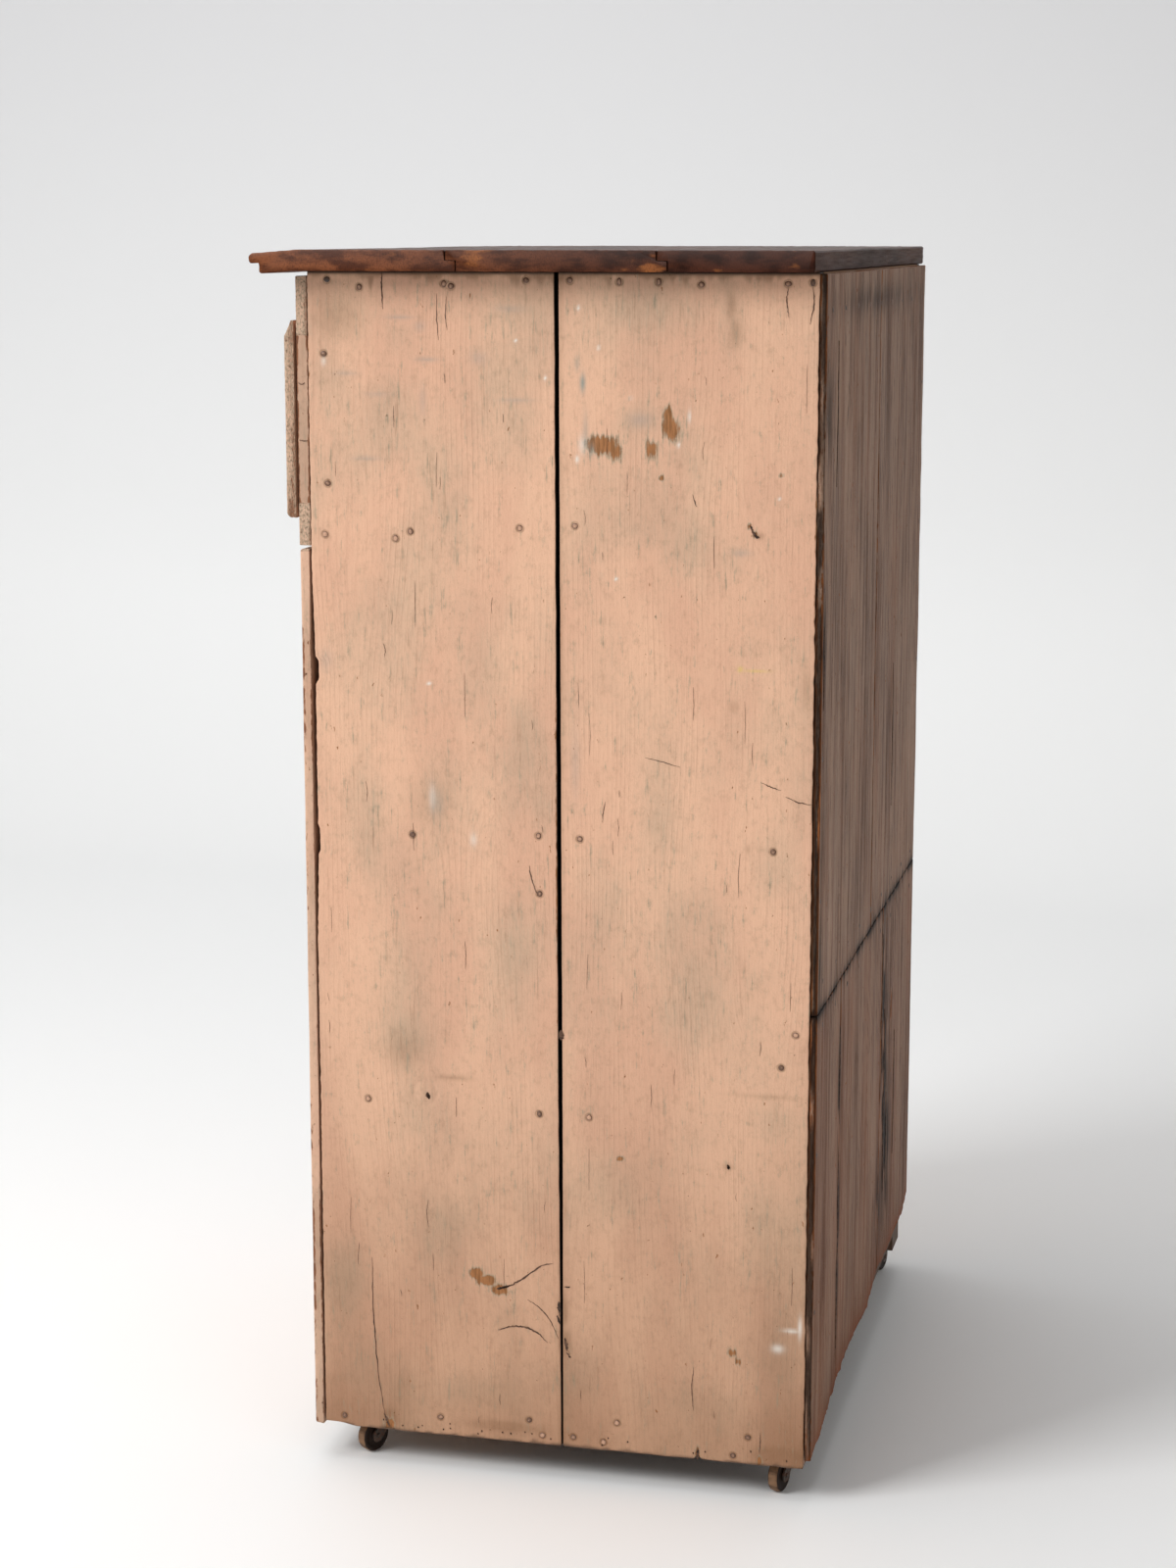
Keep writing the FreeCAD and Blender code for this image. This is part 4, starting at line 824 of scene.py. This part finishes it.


# The colour of the cracks is painted shade: near black, with brown of the wood inside in places.
crack_dark, tree, shader = new_material("crack_dark")
shade = step_up(noise(in_frame(tree), (200.0, 200.0, 200.0)), 0.3, 0.7)
feed(shader, {"Base Color": mixed(shade, seen(34, 23, 18), seen(112, 82, 64)), "Roughness": 0.9})
cracks("side_right_cracks", CRACKS + fine_checks(60, 7) + pin_holes(22, 8),
       (RIGHT, FRONT_EDGE, FOOT), (1, 0, 0), "carcass", 5)
cracks("side_left_cracks", fine_checks(60, 9) + pin_holes(16, 10),
       (-RIGHT, REAR_EDGE, FOOT), (-1, 0, 0), "carcass", 6)

# The top: three shiplapped boards, once stained dark brown. The front board droops toward its
# lip, the laps show as steps at both ends, and the cut ends are bare and blotched.
TOP_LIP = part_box("top_front_board")[0].y
low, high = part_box("top_rear_board")
TOP_LEVEL = low.z
TOP_FACE = high.z
TOP_MIDDLE = TOP_LEVEL + (TOP_FACE - TOP_LEVEL) / 2
JOINTS = (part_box("top_middle_board")[0].y, low.y)
TOP_LAP = 0.009
JOINT_GAP = 0.0006
DROOP = 0.003
TOP_STEP = 0.004

stained_top, tree, shader = new_material("stained_top")
end = stored(tree, "end_grain")
where = in_frame(tree)
streak, hair, late, blotch, speck = grain_at(board_place(tree), stored(tree, "rings"))
face_colour = layered(seen(88, 55, 40), (step_up(blotch, 0.3, 0.7), seen(60, 38, 29)),
                      (late * 0.5, seen(48, 30, 24)),
                      (step_up(streak, 0.5, 0.8) * 0.45, seen(36, 22, 18)))
toward_rear = step_up(wires(tree, "SeparateXYZ", {0: where})[1], -0.26, 0.16)
pores = noise(where, (500.0, 800.0, 500.0), 2.0, 0.5)
end_colour = layered(
    mixed(toward_rear, seen(84, 46, 30), seen(46, 26, 20)),
    (step_up(noise(where, (50.0, 34.0, 90.0), 4.0, 0.6), 0.36, 0.62),
     mixed(toward_rear, seen(132, 78, 50), seen(74, 42, 31))),
    (step_up(noise(where, (20.0, 24.0, 60.0)), 0.58, 0.70) * 0.7, seen(158, 96, 54)),
    (step_up(pores, 0.45, 0.75) * 0.5, seen(52, 32, 26)))
feed(shader, {"Base Color": mixed(end, face_colour, end_colour),
              "Specular IOR Level": stored(tree, "sheen") * 0.4 + 0.02,
              "Roughness": streak * 0.3 + end * 0.2 + 0.30,
              "Normal": bumped(streak + pores, 0.0004)})


def droop(rows):
    """Lower the boards ahead of the sides in proportion, to the full droop at the lip, and let
    the upper faces sink unevenly, by up to 0.6 mm."""
    y = rows[:, :, 1]
    rows[:, :, 2] -= DROOP * np.clip((FRONT_EDGE - y) / (FRONT_EDGE - TOP_LIP), 0, 1)
    wander = 0.0006 * (smooth_noise(rows[:, :, 0] / 0.13 + 9, y / 0.06 + 9, 71) - 1)
    rows[:, :, 2] += wander * (rows[:, :, 2] > 1.2 * TOP_MIDDLE - 0.2 * TOP_LEVEL)
    return rows


def polished_face(rows, outward):
    """Only the upper face is worn smooth enough to shine."""
    return {"sheen": np.clip(outward[:, :, 2], 0, 1)}


def rear_lap(joint):
    """The rear edge of a board whose face ends at the joint: the lower half runs on by the lap."""
    edge = joint - JOINT_GAP
    return [(edge + TOP_LAP, TOP_LEVEL), (edge + TOP_LAP, TOP_MIDDLE), (edge, TOP_MIDDLE),
            (edge, TOP_FACE)]


def front_lap(edge):
    """The front edge of a board: the upper half stands ahead of the lower by the lap."""
    return [(edge, TOP_FACE), (edge, TOP_MIDDLE), (edge + TOP_LAP, TOP_MIDDLE),
            (edge + TOP_LAP, TOP_LEVEL)]


for part, section, radii, seed in (
        ("front", front_lap(TOP_LIP) + rear_lap(JOINTS[0]),
         (0.0035, 0.003, 0, 0.0025, 0.0006, 0.0006, 0, 0.0015), 23),
        ("middle", front_lap(JOINTS[0]) + rear_lap(JOINTS[1]),
         (0.0012, 0.0006, 0, 0.0006, 0.0006, 0.0006, 0, 0.0012), 29),
        ("rear", front_lap(JOINTS[1]) + [(REAR_EDGE, TOP_LEVEL), (REAR_EDGE, TOP_FACE)],
         (0.0012, 0.0006, 0, 0.0006, 0.0015, 0.002), 31)):
    steps = [0.003] * (len(section) - 1) + [TOP_STEP]
    steps[3] = TOP_STEP
    timber(f"top_{part}_board", "carcass", section, radii, steps, "x", TOP_STEP, seed,
           stained_top, end_round=0.0014, warp=droop, marks=polished_face,
           ring_depth=0.00025)
nail_heads("top_nails", [(way * (RIGHT - 0.009), y, TOP_FACE - 0.0010) for way in (-1, 1)
                         for y in np.linspace(FRONT_EDGE + 0.02, REAR_EDGE - 0.02, 8)],
           (0, 0, 1), 0.0028, 1.2)

# The back: wide boards above a slanting cross seam and narrower ones below it, thin and weathered
# to a grey brown with the grain standing out, and rotted ragged along the foot. The rot is given
# by its height at distances from the right side.
BACK_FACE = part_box("back_upper_right_board")[1].y
CROSS_SEAM_RIGHT = 0.402
CROSS_SEAM_LEFT = 0.409
BACK_GAP = 0.001
BACK_STEP = 0.003
ROT_AT = (0, 78, 108, 177, 258, 337, 406, 442, 502, 540, 590, 626)
ROT_HEIGHT = (8, 16, 23, 30, 32, 25, 41, 37, 37, 42, 37, 49)
STAINED = (
    (415, 330, 14, 70, 0.9), (430, 230, 22, 90, 1), (445, 150, 30, 70, 1),
    (400, 100, 20, 60, 0.8), (132, 300, 7, 70, 1), (136, 180, 8, 90, 1), (10, 720, 10, 30, 0.8),
    (14, 560, 8, 30, 0.7), (20, 900, 16, 40, 0.6), (12, 440, 12, 30, 0.6),
    (300, 990, 250, 14, 0.5))
back_paint = painted(
    "back_paint", (seen(158, 117, 93), seen(118, 84, 66), seen(188, 156, 134),
                   seen(158, 96, 56), seen(50, 33, 25)),
    grey=-0.3, edge_wear=0.9, chipping=0.06, streaking=0.80, bump=0.0010, gloss=0.04,
    stored_marks=("bare", "dirt"),
    stains=(("ochre", seen(146, 80, 44)), ("sooty", seen(28, 20, 16))))


def cross_seam(x):
    """Level of the cross seam: straight from its left end to its right, with a little wander."""
    share = (x + RIGHT) / (2 * RIGHT)
    wander = 0.0016 * (ripple(x + 0.15, 0.03, 2.5, 83) - 0.5)
    return FOOT + CROSS_SEAM_LEFT + (CROSS_SEAM_RIGHT - CROSS_SEAM_LEFT) * share + wander


def rotted_foot(x):
    """Level of the rotted foot, with splinters of up to 4.5 mm either way."""
    splinter = 0.006 * (ripple(x + 0.036, 0.012, 1.5, 89) - 0.5)
    splinter = splinter + 0.003 * (ripple(x, 0.0035, 4.5, 90) - 0.5)
    return FOOT + 0.001 * np.interp(1000 * (RIGHT - x), ROT_AT, ROT_HEIGHT) + splinter


def back_marks(rows, outward):
    """Dirt and slivers of red wood on the sawn edges, black stains beside the rotten joints and
    along the cross seam, and brown wood toward the foot."""
    x, y, z = np.moveaxis(rows, -1, 0)
    from_right = RIGHT - x
    height = z - FOOT
    sawn = np.abs(outward[:, :, 0])
    seam = 0.5 * np.exp(-np.abs(z - cross_seam(x)) / 0.004)
    foot = 0.6 * np.exp(-(z - rotted_foot(x)) / 0.012)
    orange = spots(from_right, height, [(472, 290, 6, 20, 0.6)])
    patchy = ease_in(smooth_noise(from_right / 0.006, height / 0.025, 87), 0.15, 0.55)
    sooty = 1.3 * patchy * (spots(from_right, height, STAINED) + 2.2 * seam)
    sliver = ease_in(smooth_noise(y / 0.0025, height / 0.04, 86), 0.25, 0.50)
    brown = smooth_noise(from_right / 0.05, height / 0.20, 88)
    brown = 0.30 * ease_out(height, 0.36, 0.44) * brown
    return {"bare": 0.22 * sawn + orange * (1 - sawn),
            "dirt": np.clip(0.25 + seam + foot + 0.7 * sawn, 0, 1),
            "ochre": np.clip(brown + foot, 0, 0.8),
            "sooty": np.clip(np.maximum(sooty, 0.85 * sawn * sliver), 0, 0.95)}


def between_levels(foot_of, head_of, low, high):
    """Stretch a board from its box to a foot and a head level that change across it, and
    splinter the outer edges."""
    def warp(rows):
        share = (rows[:, :, 2] - low.z) / (high.z - low.z)
        x = rows[:, :, 0]
        rows[:, :, 2] = foot_of(x) + share * (head_of(x) - foot_of(x))
        splinter = 0.0018 * ripple(rows[:, :, 2], 0.009, 6.5, 85)
        rows[:, :, 0] -= np.sign(x) * splinter * (np.abs(x) > RIGHT - 0.0015)
        return rows
    return warp


for part, seed in (("upper_right", 47), ("upper_left", 53), ("lower_right", 59),
                   ("lower_middle", 61), ("lower_left", 67)):
    low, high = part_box(f"back_{part}_board")
    levels = (rotted_foot, cross_seam)
    if "upper" in part:
        levels = (lambda x: cross_seam(x) + BACK_GAP, lambda x: high.z + 0 * x)
    timber(f"back_{part}_board", "carcass", rectangle(low.x, high.x, low.y, high.y),
           (0.0006, 0.0006, 0.0012, 0.0012), (0.03, 0.002, BACK_STEP, 0.002), "z",
           2 * BACK_STEP, seed, back_paint, end_round=0.0008,
           warp=between_levels(*levels, low, high), marks=back_marks, ring_depth=0.0004)
back_nails = [(x, BACK_FACE - 0.0005, FOOT + level + 0.004 * math.sin(90 * x))
              for level in (0.985, 0.425, 0.388)
              for x in np.linspace(-RIGHT + 0.03, RIGHT - 0.03, 9)]
back_nails += [(way * (RIGHT - 0.009), BACK_FACE - 0.0005, FOOT + level)
               for way in (-1, 1) for level in (0.90, 0.76, 0.62, 0.50, 0.28, 0.14)]
nail_heads("back_nails", back_nails, (0, 1, 0), NAIL_RADIUS, 1.3)
BACK_SPLITS = [
    (3, ((404, 380), (407, 330), (405, 290), (409, 240))),
    (4.5, ((424, 300), (428, 240), (425, 180), (432, 110))),
    (3.5, ((446, 210), (449, 170), (446, 120))), (3, ((133, 360), (134, 320), (133.5, 270))),
    (4, ((133.5, 250), (135, 190), (134, 120), (134.5, 60))),
    (3, ((498, 260), (502, 200), (499, 130))), (2.2, ((64, 960), (66, 900), (63, 840))),
    (2.2, ((10, 730), (12, 700), (11, 660))), (2.2, ((440, 640), (443, 560), (441, 500)))]
cracks("back_splits", BACK_SPLITS, (RIGHT, BACK_FACE, FOOT), (0, 1, 0), "carcass", 12)

# The face frame, the door and its turn button: thin peach painted boards over the front edges of
# the sides. Their ends and arrises are rubbed through to brown, speckled wood.
front_paint = painted(
    "front_paint", (seen(232, 188, 159), seen(216, 170, 142), GREY_COAT, seen(134, 86, 57),
                    seen(76, 48, 34)),
    grey=0.30, dirt=0.22, edge_wear=0.75, chipping=0.05, end_wear=0.22)
FRONT_STEP = 0.004
for node, body, along, face_round, seed in (
        ("front_top_rail", "carcass", "x", 0.0010, 101),
        ("front_middle_rail", "carcass", "x", 0.0010, 103),
        ("front_stile_right", "carcass", "z", 0.0008, 107),
        ("front_stile_left", "carcass", "z", 0.0008, 109),
        ("door_hinge_board", "door", "z", 0.0024, 113),
        ("door_middle_board", "door", "z", 0.0010, 127),
        ("door_latch_board", "door", "z", 0.0024, 131),
        ("turn_button", "turn_button", "x", 0.0020, 139)):
    low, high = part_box(node)
    section = rectangle(low.x, high.x, low.y, high.y)
    radii = (face_round, face_round, 0.0004, 0.0004)
    steps = (FRONT_STEP, 0.002, FRONT_STEP, 0.002)
    if along == "x":
        section = rectangle(low.y, high.y, low.z, high.z)
        radii = (face_round, 0.0004, 0.0004, face_round)
        steps = (0.002, FRONT_STEP, 0.002, FRONT_STEP)
    timber(node, body, section, radii, steps, along, 1.5 * FRONT_STEP, seed, front_paint,
           end_round=min(face_round, 0.002), ring_depth=0.0002)
low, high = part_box("front_stile_right")
STILE_CRACKS = [
    (0.8, ((1.5, 53.5), (5, 52.5), (8.5, 53))), (0.8, ((1.5, 101), (5, 99.5), (7, 101.5)))]
cracks("stile_cracks", STILE_CRACKS, (high.x, low.y, low.z), (1, 0, 0), "carcass", 14)

# The drawer front: wider than its opening, bevelled along the top and rounded round its face.
# It is painted like the rest of the front.
BEVEL_DEPTH = 0.0065
BEVEL_HEIGHT = 0.0135
low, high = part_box("drawer_front")
timber("drawer_front", "drawer",
       [(low.y, low.z), (high.y, low.z), (high.y, high.z), (low.y + BEVEL_DEPTH, high.z),
        (low.y, high.z - BEVEL_HEIGHT)],
       (0.0045, 0.0008, 0.0004, 0.0008, 0.0045), (0.0015, FRONT_STEP, 0.0015, 0.0015, FRONT_STEP),
       "x", 1.5 * FRONT_STEP, 137, front_paint, end_round=0.0022,
       ring_depth=0.0002)

# Bare pine inside: shelves, bottom, cleats, rails behind the back, the drawer's box and its
# runners. It is darkened with age, and the pieces underneath are darker still, partly dirt and
# partly painted shade under the cupboard. The solids only take a finish.
BARE_PINE_ALONG = {
    "x": ("upper_shelf_front_board", "upper_shelf_rear_board", "lower_shelf_front_board",
          "lower_shelf_rear_board", "bottom_front_board", "back_rail_top", "back_rail_middle",
          "drawer_box_front", "drawer_back", "drawer_bottom", "door_upper_batten",
          "door_lower_batten"),
    "x_dirty": ("bottom_rear_board", "bottom_bearer", "caster_blocks"),
    "y": ("top_cleats", "drawer_runner_right", "drawer_runner_left", "drawer_side_right",
          "drawer_side_left"),
}


def finish_nodes(nodes, material):
    """Give CAD nodes one material all over."""
    for node in nodes:
        materials = frame["nodes"][node].data.materials
        materials.clear()
        materials.append(material)


for axis_name, nodes in BARE_PINE_ALONG.items():
    material, tree, shader = new_material(f"bare_pine_{axis_name}")
    turned = (0, 0, 0 if axis_name == "y" else math.pi / 2)
    where = wire(tree, "Mapping", 0, {"Vector": in_frame(tree), "Rotation": turned})
    x, y, z = wires(tree, "SeparateXYZ", {0: where})
    bend = noise(where, (9.0, 1.2, 9.0), 2.0, 0.5)
    streak, hair, late, blotch, speck = grain_at(where, (x + z) * 160.0 + bend * 9.0)
    # The pieces underneath are mixed far toward dark brown: dirt and painted shade under the
    # cupboard.
    colour = layered(seen(172, 128, 86), (step_up(blotch, 0.3, 0.7), seen(140, 98, 64)),
                     (late * 0.5, seen(108, 68, 42)), (streak * 0.35, seen(96, 66, 44)),
                     (0.75 if axis_name == "x_dirty" else 0.0, seen(58, 42, 32)))
    feed(shader, {"Base Color": colour, "Roughness": streak * 0.2 + 0.55,
                  "Normal": bumped(streak, 0.0003)})
    finish_nodes(nodes, material)

# Knobs: turned from the same pine, painted with the front and rubbed bare on the crown, where
# hands hold them. The profile gives radius and distance in front of the board, in millimetres.
KNOB_PROFILE = 0.001 * np.array((
    (6.6, -0.3), (6.3, 3), (6.6, 5.8), (9, 7.8), (12.6, 9.2), (14, 11.2), (13.7, 13.8),
    (12, 16.3), (9, 18), (5, 18.8), (0.8, 19)))


def turned_knob(name, node, body, x, z, face_y):
    """The profile turned about the line along Y through the knob's centre, in 40 steps."""
    angle = np.linspace(0, 2 * math.pi, 41)[:-1]
    radius = KNOB_PROFILE[:, :1]
    reach = np.repeat(KNOB_PROFILE[:, 1:], len(angle), 1)
    rows = np.stack([x + radius * np.cos(angle), face_y - reach, z + radius * np.sin(angle)], -1)
    piece = skin(name, rows)
    turned = np.broadcast_to(0.014 * angle, reach.shape)
    give(piece, "grain", np.stack([turned, reach, 0 * reach + x], -1))
    give(piece, "rings", growth_rings(turned, reach, 3))
    give(piece, "edge", 0.6 * ease_in(reach, 0.008, 0.019))
    dress(piece, body, front_paint, node)


low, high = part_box("drawer_knobs")
middle = (low.z + high.z) / 2
radius = (high.z - low.z) / 2
for hand, x in (("right", high.x - radius), ("left", low.x + radius)):
    turned_knob(f"drawer_knob_{hand}", "drawer_knobs", "drawer", x, middle,
                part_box("drawer_front")[0].y)
low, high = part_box("door_knob")
turned_knob("door_knob_turned", "door_knob", "door", (low.x + high.x) / 2, (low.z + high.z) / 2,
            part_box("door_latch_board")[0].y)

# Iron: hinges, their pins, the button's screw, and the casters' forks, axles and sleeves, dull
# and brown with rust.
CORNERS = ("front_right", "rear_right", "front_left", "rear_left")
old_iron, tree, shader = new_material("old_iron")
patch = noise(in_frame(tree), (300.0, 300.0, 300.0), 5.0, 0.65)
rusted = step_up(patch, 0.44, 0.56)
feed(shader, {"Base Color": mixed(rusted, seen(92, 84, 78), seen(92, 62, 46)),
              "Metallic": rusted * -0.8 + 0.85, "Roughness": rusted * 0.35 + 0.42,
              "Normal": bumped(patch, 0.0003)})
finish_nodes(("hinge_side_leaves", "hinge_door_leaves", "hinge_pins", "turn_button_screw",
              "caster_sockets"), old_iron)
finish_nodes([f"caster_{corner}_{part}" for corner in CORNERS for part in ("fork", "axle")],
             old_iron)

# Caster wheels: turned hardwood gone almost black on the faces, with a paler worn tread, a
# shallow dish and a hub in each face. The profile gives radius and distance from the middle, in
# millimetres.
wheel_wood, tree, shader = new_material("wheel_wood")
patch = noise(stored(tree, "grain", "Vector"), (260.0, 260.0, 40.0), 4.0, 0.6)
tread = step_up(patch * 0.5 + stored(tree, "edge") * 0.6, 0.66, 0.90)
feed(shader, {
    "Base Color": layered(seen(40, 27, 20), (tread, seen(134, 102, 76)),
                          (step_up(patch, 0.6, 0.8), seen(30, 22, 20))),
    "Roughness": 0.55, "Specular IOR Level": 0.2, "Normal": bumped(patch, 0.0003)})
HALF_PROFILE = (
    (2.05, 4.8), (4.6, 4.8), (5.6, 4.1), (10.8, 4.1), (11.8, 4.9), (13.6, 4.8), (14.6, 4),
    (14.95, 2))
wheel_profile = 0.001 * np.array([(radius, -offset) for radius, offset in HALF_PROFILE]
                                 + [(15, 0)] + list(reversed(HALF_PROFILE)))
joints = {joint["name"]: joint for joint in frame["joints"]}
for corner in CORNERS:
    roll = joints[f"caster_{corner}_roll"]
    centre = np.array(roll["pos_m"], float)
    spin = np.array(roll["axis"], float)
    level = np.cross((0.0, 0.0, 1.0), spin)
    angle = np.linspace(0, 2 * math.pi, 49)[:-1, None]
    spoke = np.cos(angle) * level + np.sin(angle) * np.array((0.0, 0.0, 1.0))
    radius = wheel_profile[:, :1]
    offset = wheel_profile[:, 1:]
    rows = centre + radius[:, :, None] * spoke + offset[:, :, None] * spin
    piece = skin(f"caster_{corner}_wheel_turned", rows, ring=True)
    wide = np.repeat(radius, len(angle), 1)
    give(piece, "grain", np.stack([wide, 0.012 * angle.T + 0 * wide, offset + 0 * wide], -1))
    give(piece, "edge", ease_in(wide, 0.0135, 0.0148))
    dress(piece, f"wheel_{corner}", wheel_wood, f"caster_{corner}_wheel")

# The studio: a pale floor that runs up into a pale wall, which a camera behind it sees through,
# soft light from the photographed side and from above, and the camera where the photograph was
# taken from. The wall is painted darker toward its top as shade.
FLOOR_HALF = 6.0
WALL_AT = -2.6
BEND = 0.6
quarter = np.linspace(0, math.pi / 2, 12)[1:]
run_out = np.concatenate([np.linspace(FLOOR_HALF, WALL_AT + BEND, 12),
                          WALL_AT + BEND - BEND * np.sin(quarter), np.full(6, WALL_AT)])
rise = np.concatenate([np.zeros(12), BEND * (1 - np.cos(quarter)), np.linspace(BEND, 5.0, 7)[1:]])
sideways = np.linspace(-FLOOR_HALF, FLOOR_HALF, 9)
points = np.stack([np.repeat(run_out, 9), np.tile(sideways, len(run_out)), np.repeat(rise, 9)], 1)
grid = np.arange(len(points)).reshape(-1, 9)
faces = np.stack([grid[:-1, :-1], grid[:-1, 1:], grid[1:, 1:], grid[1:, :-1]], -1)
studio = from_faces("studio_floor", points, faces.reshape(-1, 4).tolist(), True)
studio_pale, tree, shader = new_material("studio_pale")
# The colour darkens from the floor's near white to grey up the wall: painted shade where the studio
# light falls off.
upward = step_up(wires(tree, "SeparateXYZ", {0: in_frame(tree)})[2], 0.0, 2.2)
feed(shader, {"Base Color": mixed(upward, seen(247, 248, 248), seen(208, 208, 210)),
              "Roughness": 0.6})
from_behind = (wire(tree, "NewGeometry", "Backfacing", {})
               * wire(tree, "LightPath", "Is Camera Ray", {}))
feed(tree.nodes["Material Output"], {"Surface": wire(tree, "MixShader", 0, {
    0: from_behind, 1: Wire(shader.outputs[0]), 2: wire(tree, "BsdfTransparent", 0, {})})})
studio.data.materials.append(studio_pale)

world = bpy.data.worlds.new("studio_air")
bpy.context.scene.world = world
world.use_nodes = True
feed(world.node_tree.nodes["Background"], {"Color": (1.0, 0.99, 0.98, 1.0), "Strength": 0.30})

for name, at, toward, size, watts, colour in (
        ("key", (2.6, -2.6, 2.9), (0.2, 0.0, 0.8), 1.8, 124.0, (1.0, 1.0, 1.0)),
        ("fill", (2.5, 2.8, 2.2), (0.0, 0.0, 0.5), 2.5, 13.0, (1.0, 0.96, 0.92)),
        ("ceiling", (0.0, -0.8, 3.6), (0.0, 0.0, 0.0), 3.0, 52.0, (1.0, 1.0, 1.0))):
    lamp = bpy.data.lights.new(name, "AREA")
    lamp.shape = "SQUARE"
    lamp.size = size
    lamp.energy = watts
    lamp.color = colour
    item = stand(name, lamp)
    item.location = at
    item.rotation_euler = (Vector(toward) - Vector(at)).to_track_quat("-Z", "Y").to_euler()

CAMERA_AT = (2.6890, 0.6130, 1.0796)
CAMERA_YAW = math.radians(13.499)
CAMERA_PITCH = math.radians(10.571)
FOCAL_PIXELS = 3023.8
PHOTO_HEIGHT = 1600
lens = bpy.data.cameras.new("camera")
lens.sensor_fit = "VERTICAL"
lens.sensor_height = 36.0
lens.lens = FOCAL_PIXELS * lens.sensor_height / PHOTO_HEIGHT
camera = stand("camera", lens)
ahead = Vector((-math.cos(CAMERA_YAW) * math.cos(CAMERA_PITCH),
                -math.sin(CAMERA_YAW) * math.cos(CAMERA_PITCH), -math.sin(CAMERA_PITCH)))
right_hand = Vector((-math.sin(CAMERA_YAW), math.cos(CAMERA_YAW), 0.0))
overhead = right_hand.cross(ahead)
turned = Matrix((right_hand, overhead, -ahead)).transposed()
camera.matrix_world = Matrix.Translation(CAMERA_AT) @ turned.to_4x4()
bpy.context.scene.camera = camera
bpy.context.scene.view_settings.view_transform = "Standard"
